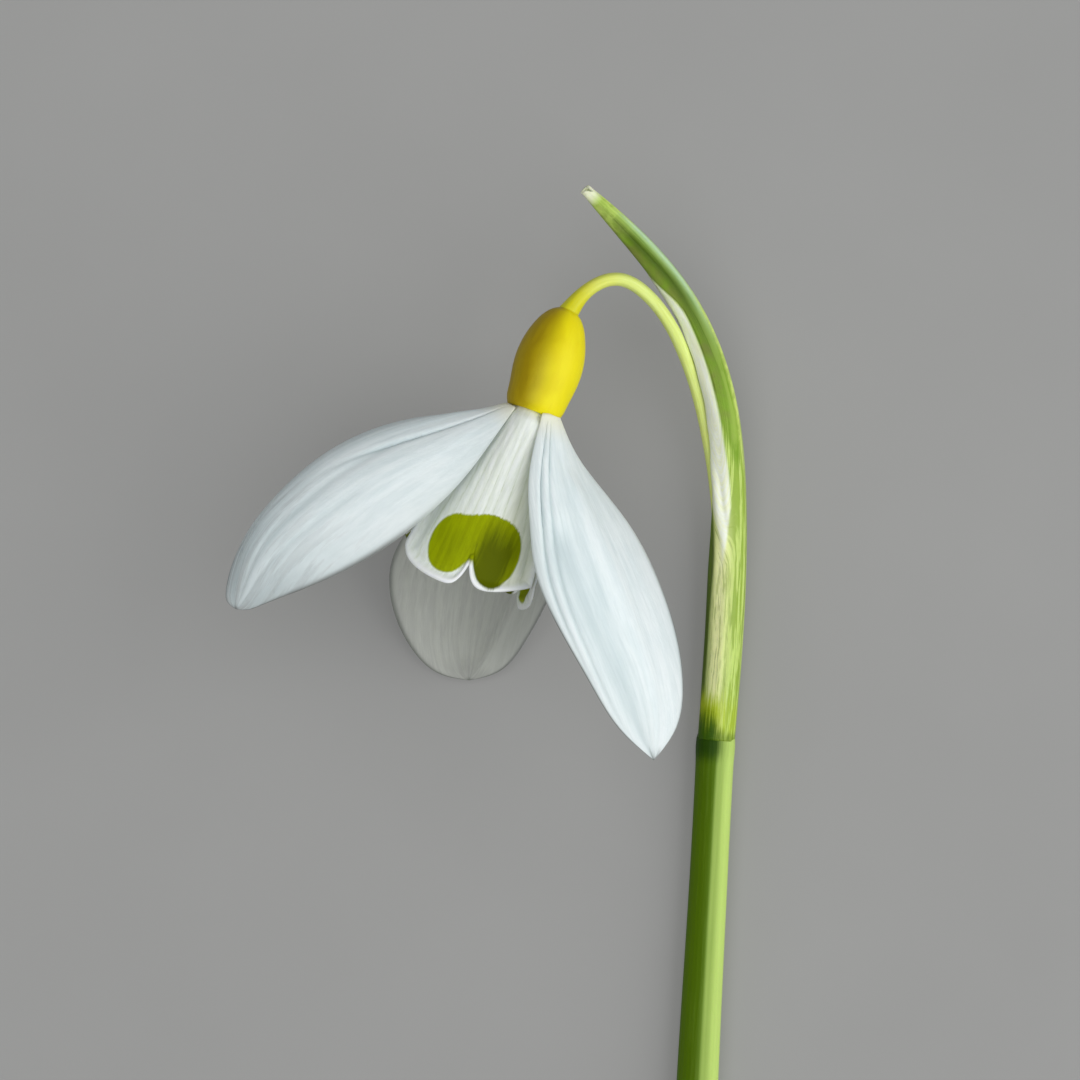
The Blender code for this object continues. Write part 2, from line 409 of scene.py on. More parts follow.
class Graph:
    """A short way to write a node tree."""

    def __init__(self, tree: bpy.types.NodeTree) -> None:
        """Keep the tree that the nodes go into."""
        self.tree = tree

    def feed(self, socket: bpy.types.NodeSocket, source: object) -> None:
        """Link a socket into another, or set its plain value.

        Args:
            socket: the input that is set.
            source: another socket, or a number, a vector or a colour.
        """
        if isinstance(source, bpy.types.NodeSocket):
            self.tree.links.new(source, socket)
        elif isinstance(source, tuple) and len(source) == 3 and socket.type == "RGBA":
            socket.default_value = (*source, 1.0)
        else:
            socket.default_value = source

    def node(self, kind: str, inputs: dict[object, object] | None = None,
             **settings: object) -> bpy.types.Node:
        """Add a node.

        Args:
            kind: the node's type.
            inputs: sources by the input's name or number.
            settings: the node's own settings.

        Returns:
            The new node.
        """
        made = self.tree.nodes.new(kind)
        for name, setting in settings.items():
            setattr(made, name, setting)
        for name, source in (inputs or {}).items():
            self.feed(made.inputs[name], source)
        return made

    def math(self, operation: str, first: object, second: object) -> bpy.types.NodeSocket:
        """The result of one operation on two numbers."""
        return self.node("ShaderNodeMath", {0: first, 1: second}, operation=operation).outputs[0]

    def times(self, first: object, second: object) -> bpy.types.NodeSocket:
        """The product of two numbers."""
        return self.math("MULTIPLY", first, second)

    def plus(self, first: object, second: object) -> bpy.types.NodeSocket:
        """The sum of two numbers."""
        return self.math("ADD", first, second)

    def minus(self, first: object, second: object) -> bpy.types.NodeSocket:
        """The first number less the second."""
        return self.math("SUBTRACT", first, second)

    def blend(self, first: object, second: object, share: object) -> bpy.types.NodeSocket:
        """A mix of two colours by the second one's share."""
        made = self.node("ShaderNodeMix", data_type="RGBA")
        self.feed(made.inputs[0], share)
        self.feed(made.inputs[6], first)
        self.feed(made.inputs[7], second)
        return made.outputs[2]

    def layers(self, base: object, *coats: tuple[object, object]) -> bpy.types.NodeSocket:
        """Lay colours over a base, one after the other, each by its own share."""
        for colour, share in coats:
            base = self.blend(base, colour, share)
        return base

    def span(self, value: object, low: object, high: object, to_low: float = 0.0,
             to_high: float = 1.0) -> bpy.types.NodeSocket:
        """Carry one range of numbers to another, with soft ends."""
        return self.node("ShaderNodeMapRange", {"Value": value, "From Min": low, "From Max": high,
                                                "To Min": to_low, "To Max": to_high},
                         interpolation_type="SMOOTHSTEP").outputs[0]

    def mark(self, name: str, vector: bool = False) -> bpy.types.NodeSocket:
        """Read one of the piece's own attributes."""
        made = self.node("ShaderNodeAttribute", attribute_name=name)
        return made.outputs["Vector" if vector else "Fac"]

    def ragged(self, mark: str, noise: object, strength: object) -> bpy.types.NodeSocket:
        """One of the piece's attributes, moved up and down by noise around a half."""
        return self.plus(self.mark(mark), self.times(self.minus(noise, 0.5), strength))

    def place(self) -> bpy.types.NodeSocket:
        """The piece's Object coordinates, in metres."""
        return self.node("ShaderNodeTexCoord").outputs["Object"]

    def group(self, tree: bpy.types.NodeTree, inputs: dict[str, object]) -> bpy.types.Node:
        """Place a shared node group with this material's own values."""
        made = self.node("ShaderNodeGroup", node_tree=tree)
        for name, source in inputs.items():
            self.feed(made.inputs[name], source)
        return made


def new_group(name: str, inputs: dict[str, str], outputs: list[str]) -> tuple[
        bpy.types.NodeTree, Graph, bpy.types.Node, bpy.types.Node]:
    """Start a node group with named inputs and outputs.

    Args:
        name: the group's name.
        inputs: socket types by name.
        outputs: names of the outputs, all numbers.

    Returns:
        The tree, its graph, its input node and its output node.
    """
    tree = bpy.data.node_groups.new(name, "ShaderNodeTree")
    for title, kind in inputs.items():
        tree.interface.new_socket(title, in_out="INPUT", socket_type=kind)
    for title in outputs:
        tree.interface.new_socket(title, in_out="OUTPUT", socket_type="NodeSocketFloat")
    graph = Graph(tree)
    return tree, graph, graph.node("NodeGroupInput"), graph.node("NodeGroupOutput")


class Effects:
    """The node groups that several finishes share, each built once."""

    def __init__(self) -> None:
        """Build the groups."""
        self.fibre_group = self._fibres()
        self.cell_group = self._cells()
        self.cloud_group = self._cloud()

    def fibres(self, graph: Graph, lie: object, squeeze: Point, sharp: float) -> bpy.types.Node:
        """Streaks along a piece: how fine they are in each direction, and how sharp."""
        return graph.group(self.fibre_group, {"Lie": lie, "Squeeze": squeeze, "Sharpness": sharp})

    def cells(self, graph: Graph, lie: object, squeeze: Point) -> bpy.types.NodeSocket:
        """The height of skin cells that are so fine in each direction."""
        return graph.group(self.cell_group, {"Lie": lie, "Squeeze": squeeze}).outputs["Height"]

    def cloud(self, graph: Graph, scale: float) -> bpy.types.NodeSocket:
        """Soft patches, of which so many go to a metre."""
        return graph.group(self.cloud_group, {"Place": graph.place(), "Scale": scale}).outputs[0]

    @staticmethod
    def _squeezed(graph: Graph, given: bpy.types.Node) -> bpy.types.NodeSocket:
        """A group's Lie times its Squeeze."""
        return graph.node("ShaderNodeVectorMath", {0: given.outputs["Lie"],
                                                   1: given.outputs["Squeeze"]},
                          operation="MULTIPLY").outputs[0]

    def _fibres(self) -> bpy.types.NodeTree:
        """Long fine streaks: noise squeezed across the piece and drawn out along it."""
        tree, graph, given, result = new_group(
            "long fibres", {"Lie": "NodeSocketVector", "Squeeze": "NodeSocketVector",
                            "Sharpness": "NodeSocketFloat"}, ["Mask", "Height"])
        noise = graph.node("ShaderNodeTexNoise", {"Vector": self._squeezed(graph, given),
                                                  "Scale": 1.0, "Detail": 4.0,
                                                  "Roughness": 0.6}).outputs[0]
        high = graph.minus(0.62, graph.times(given.outputs["Sharpness"], 0.1))
        graph.feed(result.inputs["Mask"], graph.span(noise, graph.minus(1.0, high), high))
        graph.feed(result.inputs["Height"], noise)
        return tree

    def _cells(self) -> bpy.types.NodeTree:
        """Tiny raised cells in rows, as on a petal's skin, from a stretched cell pattern."""
        tree, graph, given, result = new_group(
            "skin cells", {"Lie": "NodeSocketVector", "Squeeze": "NodeSocketVector"}, ["Height"])
        cells = graph.node("ShaderNodeTexVoronoi", {"Vector": self._squeezed(graph, given),
                                                    "Scale": 1.0}, feature="SMOOTH_F1")
        graph.feed(result.inputs["Height"], graph.minus(1.0, cells.outputs["Distance"]))
        return tree

    def _cloud(self) -> bpy.types.NodeTree:
        """Soft patches of a few millimetres, from broad noise."""
        tree, graph, given, result = new_group(
            "soft patches", {"Place": "NodeSocketVector", "Scale": "NodeSocketFloat"}, ["Mask"])
        noise = graph.node("ShaderNodeTexNoise", {"Vector": given.outputs["Place"],
                                                  "Scale": given.outputs["Scale"],
                                                  "Detail": 3.0}).outputs[0]
        graph.feed(result.inputs["Mask"], graph.span(noise, 0.32, 0.68))
        return tree


@dataclass(frozen=True)
class Body:
    """The parts of a shader that are the same all over a surface.

    Attributes:
        roughness: how dull the surface is.
        specular: strength of its gloss.
        scatter: share of light that travels inside it.
        reach: how far light travels inside it, in millimetres, for red, green and blue.
    """

    roughness: float
    specular: float
    scatter: float = 0.0
    reach: Colour = (1.0, 1.0, 1.0)

    def shader(self, name: str) -> tuple[bpy.types.Material, Graph, bpy.types.Node]:
        """Start a material with these values set on its shader.

        Args:
            name: the material's name.

        Returns:
            The material, its graph and its Principled shader.
        """
        material = bpy.data.materials.new(name)
        material.use_nodes = True
        surface = material.node_tree.nodes["Principled BSDF"]
        surface.inputs["Roughness"].default_value = self.roughness
        surface.inputs["Specular IOR Level"].default_value = self.specular
        surface.inputs["Subsurface Weight"].default_value = self.scatter
        surface.inputs["Subsurface Radius"].default_value = self.reach
        surface.inputs["Subsurface Scale"].default_value = MM
        return material, Graph(material.node_tree), surface


def relief(graph: Graph, surface: bpy.types.Node, coarse: bpy.types.NodeSocket,
           fine: bpy.types.NodeSocket, share: float, depth: float) -> None:
    """Raise the surface by a coarse pattern of heights and a share of a fine one.

    Args:
        graph: the material's graph.
        surface: its shader.
        coarse: heights of the coarse pattern.
        fine: heights of the fine pattern.
        share: the fine pattern's share.
        depth: depth of the relief in millimetres.
    """
    bump = graph.node("ShaderNodeBump", {"Height": graph.plus(graph.times(fine, share), coarse),
                                         "Strength": 1.0, "Distance": depth * MM})
    graph.feed(surface.inputs["Normal"], bump.outputs[0])


@dataclass(frozen=True)
class PetalFinish:
    """White petal tissue: veins, a mottled inner layer and thinner, clearer parts.

    Attributes:
        name: the material's name.
        body: the shader's plain values.
        light: colour of the full tissue.
        shade: colour between the fibres and in the soft patches.
        vein: colour of the veins, and of the painted shade in the furrows and along the first
            margin, which also greys the tip.
        edge: colour of the thin line along the margins.
        foot: colour at the petal's base.
        clear: how much of the light passes straight through at full clearness.
    """

    name: str
    body: Body
    light: Colour
    shade: Colour
    vein: Colour
    edge: Colour
    foot: Colour
    clear: float

    def material(self, effects: Effects) -> bpy.types.Material:
        """Build the material.

        Args:
            effects: the shared node groups.

        Returns:
            The finished material, which reads the marks lie, veins, shade, edge,
            foot and clear.
        """
        material, graph, surface = self.body.shader(self.name)
        lie = graph.mark("lie", vector=True)
        streaks = effects.fibres(graph, lie, (1.5, 0.13, 1.0), 0.25)
        fine = effects.fibres(graph, lie, (6.0, 0.7, 1.0), 0.6)
        cells = effects.cells(graph, lie, (14.0, 5.0, 1.0))
        grey = graph.plus(graph.times(streaks.outputs["Mask"], 0.45),
                          graph.times(effects.cloud(graph, 260.0), 0.25))
        grey = graph.plus(grey, graph.times(fine.outputs["Mask"], 0.14))
        vein = graph.times(graph.mark("veins"),
                           graph.span(fine.outputs["Height"], 0.3, 0.62, 0.4, 1.0))
        # the shade mark lays the vein colour over the furrows and the first margin as painted shade
        graph.feed(surface.inputs["Base Color"], graph.layers(
            self.light, (self.shade, grey), (self.vein, graph.times(vein, 0.16)),
            (self.vein, graph.times(graph.mark("shade"), 0.75)),
            (self.edge, graph.mark("edge")), (self.foot, graph.mark("foot"))))
        held = graph.minus(graph.mark("clear"), graph.times(streaks.outputs["Mask"], 0.35))
        graph.feed(surface.inputs["Alpha"], graph.minus(1.0, graph.times(held, self.clear)))
        relief(graph, surface, streaks.outputs["Height"], cells, 0.4, 0.02)
        return material


@dataclass(frozen=True)
class MarkedFinish:
    """Inner petal tissue with thin green lines and the green mark at the notch.

    Attributes:
        name: the material's name.
        body: the shader's plain values.
        light: colour of the tissue.
        shade: colour between the fibres.
        rim: colour of the rolled rim.
        warm: colour of the side that lies in the next petal's shade.
        line: colour of the thin lines that run down to the mark.
        mark_light: the mark's colour at its upper edge and margins.
        mark_painted_shade: the mark's colour in painted shade, deepest over its right half.
    """

    name: str
    body: Body
    light: Colour
    shade: Colour
    rim: Colour
    warm: Colour
    line: Colour
    mark_light: Colour
    mark_painted_shade: Colour

    def material(self, effects: Effects) -> bpy.types.Material:
        """Build the material.

        Args:
            effects: the shared node groups.

        Returns:
            The finished material, which reads the marks lie, lip, warm, veins, green,
            depth and fray.
        """
        material, graph, surface = self.body.shader(self.name)
        lie = graph.mark("lie", vector=True)
        streaks = effects.fibres(graph, lie, (4.0, 0.35, 1.0), 0.3)
        fine = effects.fibres(graph, lie, (11.0, 1.4, 1.0), 0.5)
        cells = effects.cells(graph, lie, (15.0, 6.0, 1.0))
        line = graph.times(graph.mark("veins"),
                           graph.span(fine.outputs["Height"], 0.35, 0.6, 0.35, 1.0))
        frayed = graph.ragged("green", fine.outputs["Height"], graph.mark("fray"))
        # painted shade: the depth mark darkens the mark, most over its right half
        deep = graph.plus(graph.mark("depth"), graph.times(streaks.outputs["Mask"], 0.18))
        graph.feed(surface.inputs["Base Color"], graph.layers(
            self.light, (self.shade, graph.times(streaks.outputs["Mask"], 0.6)),
            (self.warm, graph.times(graph.mark("warm"), 0.6)),
            (self.line, graph.times(line, 0.5)), (self.rim, graph.mark("lip")),
            (graph.blend(self.mark_light, self.mark_painted_shade, deep),
             graph.span(frayed, 0.07, -0.07))))
        relief(graph, surface, streaks.outputs["Height"], cells, 0.4, 0.02)
        return material


@dataclass(frozen=True)
class FleshFinish:
    """Smooth, waxy flesh whose colour changes along the piece, and round it as painted light and
    shade on the ovary and the pedicel.

    Attributes:
        name: the material's name.
        body: the shader's plain values.
        near: colour where the piece's tone mark is 0.
        far: colour where the tone mark is 1.
        fleck: colour of the fine streaks.
        streak: strength of the streaks.
        squeeze: how fine the streaks are, per millimetre across and along.
    """

    name: str
    body: Body
    near: Colour
    far: Colour
    fleck: Colour
    streak: float = 0.35
    squeeze: tuple[float, float, float] = (2.5, 2.5, 0.35)

    def material(self, effects: Effects) -> bpy.types.Material:
        """Build the material.

        Args:
            effects: the shared node groups.

        Returns:
            The finished material, which reads the marks lie and tone.
        """
        material, graph, surface = self.body.shader(self.name)
        lie = graph.mark("lie", vector=True)
        streaks = effects.fibres(graph, lie, self.squeeze, 0.3)
        cells = effects.cells(graph, lie, (9.0, 9.0, 4.0))
        tone = graph.ragged("tone", effects.cloud(graph, 420.0), 0.14)
        graph.feed(surface.inputs["Base Color"], graph.layers(
            self.near, (self.far, tone),
            (self.fleck, graph.times(streaks.outputs["Mask"], self.streak))))
        relief(graph, surface, streaks.outputs["Height"], cells, 0.5, 0.012)
        return material


@dataclass(frozen=True)
class StalkFinish:
    """The scape's skin, with painted light on its right side and painted shade on its left, its
    dark joint and its cut end.

    Attributes:
        name: the material's name.
        body: the shader's plain values.
        deep: colour of the painted shade on the left side.
        pale: colour of the painted light on the right side.
        joint: colour of the joint below the sheath.
        pith: colour of the cut end.
        vessel: colour of the vessels in the cut end.
    """

    name: str
    body: Body
    deep: Colour
    pale: Colour
    joint: Colour
    pith: Colour
    vessel: Colour

    def material(self, effects: Effects) -> bpy.types.Material:
        """Build the material.

        Args:
            effects: the shared node groups.

        Returns:
            The finished material, which reads the marks lie, tone, joint and core.
        """
        material, graph, surface = self.body.shader(self.name)
        lie = graph.mark("lie", vector=True)
        streaks = effects.fibres(graph, lie, (3.0, 3.0, 0.12), 0.4)
        fine = effects.fibres(graph, lie, (9.0, 9.0, 0.6), 0.6)
        joint = graph.ragged("joint", fine.outputs["Height"], 0.4)
        dots = graph.node("ShaderNodeTexVoronoi", {"Vector": graph.place(), "Scale": 2600.0})
        cut = graph.blend(self.pith, self.vessel, graph.span(dots.outputs["Distance"], 0.3, 0.12))
        # painted light and shade: the tone mark runs from the deep colour on the left to the pale
        # one on the right
        graph.feed(surface.inputs["Base Color"], graph.layers(
            self.deep, (self.pale, graph.ragged("tone", streaks.outputs["Height"], 0.3)),
            (self.joint, graph.span(joint, 0.1, 1.1)), (cut, graph.mark("core"))))
        relief(graph, surface, streaks.outputs["Height"], fine.outputs["Height"], 0.5, 0.04)
        return material


@dataclass(frozen=True)
class SheathFinish:
    """The spathe: green keels with painted light and shade, a papery skin between them and a
    yellow-green foot.

    Attributes:
        name: the material's name.
        body: the shader's plain values.
        keel: colour of the green keels.
        keel_light: colour of the keels' paler streaks, and of the painted light along their outer
            edge.
        olive: colour of the keels' inner side.
        painted_highlight: colour of the painted highlight on the keels' outer side.
        seam: colour of the painted shade in the crease along each keel and on the tube's far edge.
        paper: colour of the papery skin.
        tube: colour of the lower tube.
        stripe: colour of the lower tube's stripes.
        cream: colour of the lower tube's papery folds.
        vein: colour of the thin lines in those folds.
        foot: colour just above the joint.
        joint: colour of the joint.
        tip: colour of the withered tip.
        clear: how much light passes straight through the papery skin.
    """

    name: str
    body: Body
    keel: Colour
    keel_light: Colour
    olive: Colour
    painted_highlight: Colour
    seam: Colour
    paper: Colour
    tube: Colour
    stripe: Colour
    cream: Colour
    vein: Colour
    foot: Colour
    joint: Colour
    tip: Colour
    clear: float

    def material(self, effects: Effects) -> bpy.types.Material:
        """Build the material.

        Args:
            effects: the shared node groups.

        Returns:
            The finished material, which reads the marks that the sheath writes.
        """
        material, graph, surface = self.body.shader(self.name)
        lie = graph.mark("lie", vector=True)
        streaks = effects.fibres(graph, lie, (3.0, 0.14, 1.0), 0.9)
        fine = effects.fibres(graph, lie, (7.0, 0.4, 1.0), 0.7)
        creases, mottle = effects.cloud(graph, 1500.0), effects.cloud(graph, 700.0)
        # painted light: the rim mark lightens the keels' outer edge
        rim = graph.times(graph.mark("rim"), graph.span(creases, 0.2, 0.8, 0.6, 1.0))
        # painted light on the keels: a highlight and a light outer edge; painted shade in the seam
        green = graph.layers(
            self.keel, (self.keel_light, graph.times(streaks.outputs["Mask"], 0.25)),
            (graph.blend(self.olive, self.keel, mottle), graph.mark("inner")),
            (self.painted_highlight, graph.times(graph.mark("painted_highlight"), 0.8)),
            (self.seam, graph.mark("seam")), (self.keel_light, rim))
        paper = graph.blend(self.paper, self.cream, graph.times(fine.outputs["Mask"], 0.35))
        lines = graph.times(graph.span(fine.outputs["Height"], 0.5, 0.6), 0.6)
        tube = graph.layers(self.stripe, (self.tube, streaks.outputs["Mask"]),
                            (graph.blend(self.cream, self.vein, lines), graph.mark("cream")))
        foot, joint = (graph.ragged(name, fine.outputs["Height"], 1.2)
                       for name in ("foot", "joint"))
        # painted shade: the seam colour over the dark mark on the tube's far edge
        graph.feed(surface.inputs["Base Color"], graph.layers(
            paper, (tube, graph.mark("tube")), (green, graph.mark("green")),
            (self.seam, graph.times(graph.mark("dark"), 0.9)),
            (self.foot, graph.span(foot, 0.1, 1.0)), (self.joint, graph.span(joint, 0.15, 1.0)),
            (self.tip, graph.mark("tip"))))
        through = graph.times(graph.mark("paper"), self.clear)
        graph.feed(surface.inputs["Alpha"], graph.minus(1.0, through))
        relief(graph, surface, streaks.outputs["Height"], creases, 0.5, 0.04)
        return material


# ---- pieces of the flower ------------------------------------------------------------


def settle(skin: Skin, name: str, node: str, material: bpy.types.Material) -> None:
    """Make a piece, dress it, and let it stand for its node of the frame.

    Args:
        skin: its surface.
        name: its name.
        node: the frame's node that it replaces.
        material: its finish.
    """
    piece = skin.make(name)
    piece.data.materials.append(material)
    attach(piece, "root")
    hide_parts(node)
    low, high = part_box(node)
    points = np.empty(len(piece.data.vertices) * 3)
    piece.data.vertices.foreach_get("co", points)
    points = points.reshape(-1, 3)
    past = max(float((np.array(low) - points.min(0)).max()),
               float((points.max(0) - np.array(high)).max()))
    LOG.info("%s for node %s: %d faces, at most %.2f mm past the node's box",
             piece.name, node, len(piece.data.polygons), past / MM)


@dataclass(frozen=True)
class Furrow:
    """A lengthwise furrow in a petal, or a ridge where its depth is below zero.

    Attributes:
        place: where it starts across the petal, from -1 at one margin to 1.
        drift: how far it moves across by the tip.
        width: its half width, as a share of the petal's.
        depth: its depth in millimetres.
        start: the fraction of the length where it begins.
        end: the fraction of the length where it has faded out.
    """

    place: float
    drift: float
    width: float
    depth: float
    start: float
    end: float

    def mask(self, across: Array, along: Array) -> Array:
        """A bell curve across the petal, which rises and fades along it.

        Args:
            across: places across, from -1 to 1.
            along: fractions of the length.

        Returns:
            The furrow's share at each point.
        """
        lasting = ease(self.start, self.start + 0.1, along) * (
            1 - ease(self.end - 0.35, self.end, along))
        return hill(self.place + self.drift * along, self.width, across) * lasting


@dataclass
class OuterPetal:
    """One long outer petal: a shallow spoon between two margins and a midrib.

    Attributes:
        name: the piece's name.
        node: the frame's node.
        first: points of one margin from base to tip.
        midrib: points of the midrib.
        second: points of the other margin.
        furrows: its own furrows and ridges.
        rib_height: height of the fine ribs in millimetres.
        rib_count: fine ribs from margin to midrib.
        clear_from: the fraction of the length from which the tissue thins out.
        clear_first: clearness along the first margin.
        dense_second: how much denser the strip along the second margin is.
        clear_all: clearness of the whole petal.
        painted_shade_first: strength of the painted shade on the strip along the first margin.
        thickness: thickness at the midrib.
        margin: thickness at the margins.
        rows, columns: how many points it has along its length and across it.
    """

    name: str
    node: str
    first: list[Point]
    midrib: list[Point]
    second: list[Point]
    furrows: tuple[Furrow, ...] = ()
    rib_height: float = 0.007
    rib_count: float = 5.5
    clear_from: float = 0.8
    clear_first: float = 0.0
    dense_second: float = 0.0
    clear_all: float = 0.0
    painted_shade_first: float = 0.0
    thickness: float = 0.27
    margin: float = 0.1
    rows: int = 200
    columns: int = 101

    def surface(self) -> Skin:
        """The petal's closed surface.

        Across the petal, a point lies on the parabola from one margin over the
        midrib to the other. Fine ribs are cosines of the place across, furrows are
        bell curves across the blade, and slow waves run along its margins.

        Returns:
            The surface with its marks.
        """
        along = np.sin(np.linspace(0, math.pi / 2, self.rows))[:, None]
        across = np.sin(np.linspace(-math.pi / 2, math.pi / 2, self.columns))[None, :]
        first, midrib, second = (path(rail, along[:, 0])[:, None]
                                 for rail in (self.first, self.midrib, self.second))
        place = across[..., None]
        middle = midrib + place * (second - first) / 2 + place ** 2 * (
            (first + second) / 2 - midrib)
        wander = 0.5 * np.sin(4 * along + 2 * across)
        wave = np.cos(2 * math.pi * self.rib_count * across + wander)
        ribs = wave * ease(0.02, 0.2, along) * (1 - ease(0.72, 0.97, along))
        masks = [furrow.mask(across, along) for furrow in self.furrows]
        furrows = sum(furrow.depth * mask for furrow, mask in zip(self.furrows, masks))
        waves = 0.08 * np.sin(7.5 * along + 2.6 * across) * across ** 2 * ease(0.15, 0.5, along)
        normal = unit(np.cross(*(np.gradient(middle, axis=a) for a in (0, 1))) + 1e-12)
        normal[-1] = normal[-2]
        lift = (self.rib_height * ribs - furrows + waves) * (1 - across ** 8) * (1 - along ** 10)
        upwards = np.sign(normal[self.rows // 2, self.columns // 2, 2])
        middle = middle + lift[..., None] * normal * upwards
        rounded = np.sqrt(np.clip(1 - across ** 14, 0, 1)) * np.sqrt(np.clip(1 - along ** 40, 0, 1))
        body = self.margin + (self.thickness - self.margin) * (1 - across ** 2) * (1 - along ** 3)
        edge = np.clip(hill(1, 0.035, np.abs(across)) + hill(1, 0.01, along), 0, 1) * (
            0.25 + 0.75 * ease(0.3, 0.6, along))
        # painted shade on the strip along the first margin
        first_margin_shade = (0.4 * ease(0.1, -0.6, across) + 0.6 * ease(-0.5, -0.75, across)) * ease(
            0.03, 0.2, along)
        tip = ease(self.clear_from, 1.0, along) * (0.7 + 0.3 * np.cos(5 * across + 1.5))
        clear = self.clear_all + 0.8 * tip + self.clear_first * ease(-0.55, -1.0, across) * ease(
            0.3, 0.7, along) - self.dense_second * ease(0.5, 0.62, across)
        # painted shade: each furrow darkened in colour by its depth, the narrow ones most
        dark = sum(max(furrow.depth, 0) / 0.14 * mask * (0.1 / (0.1 + furrow.width ** 2 * 1.5))
                   for furrow, mask in zip(self.furrows, masks))
        marks = {"lie": self._lie(along, across, second - first),
                 "veins": np.abs(wave) ** 14 * ease(0.05, 0.3, along) * (1 - across ** 6) * (
                     1 - ease(0.7, 0.95, along)),
                 "edge": edge, "foot": 1 - ease(0.0, 0.1, along),
                 # painted shade of the furrows and the first margin, greyer towards the tip
                 "shade": np.clip(0.6 * dark + self.painted_shade_first * first_margin_shade
                                  + 0.55 * tip * (1 - self.clear_all), 0, 1),
                 "clear": np.clip(clear, 0, 1) * (1 - 0.8 * edge)}
        return thin_wall(middle, body * rounded, Cap.POINT, marks)

    def _lie(self, along: Array, across: Array, span: Array) -> Array:
        """Each point's place on the flattened petal, in millimetres across and along.

        Args:
            along: fractions of the length.
            across: places across, from -1 to 1.
            span: vectors from one margin to the other.

        Returns:
            Vectors of a width between the widest and the local half span times across,
            the length times along, and 0.
        """
        half = np.linalg.norm(span, axis=-1) / 2
        wide = 0.3 * half.max() + 0.7 * half
        length = np.linalg.norm(np.diff(np.asarray(self.midrib), axis=0), axis=1).sum()
        return np.stack(np.broadcast_arrays(wide * across, length * along, 0.0), axis=-1)

    def build(self, material: bpy.types.Material) -> None:
        """Make the petal and dress it."""
        settle(self.surface(), self.name, self.node, material)


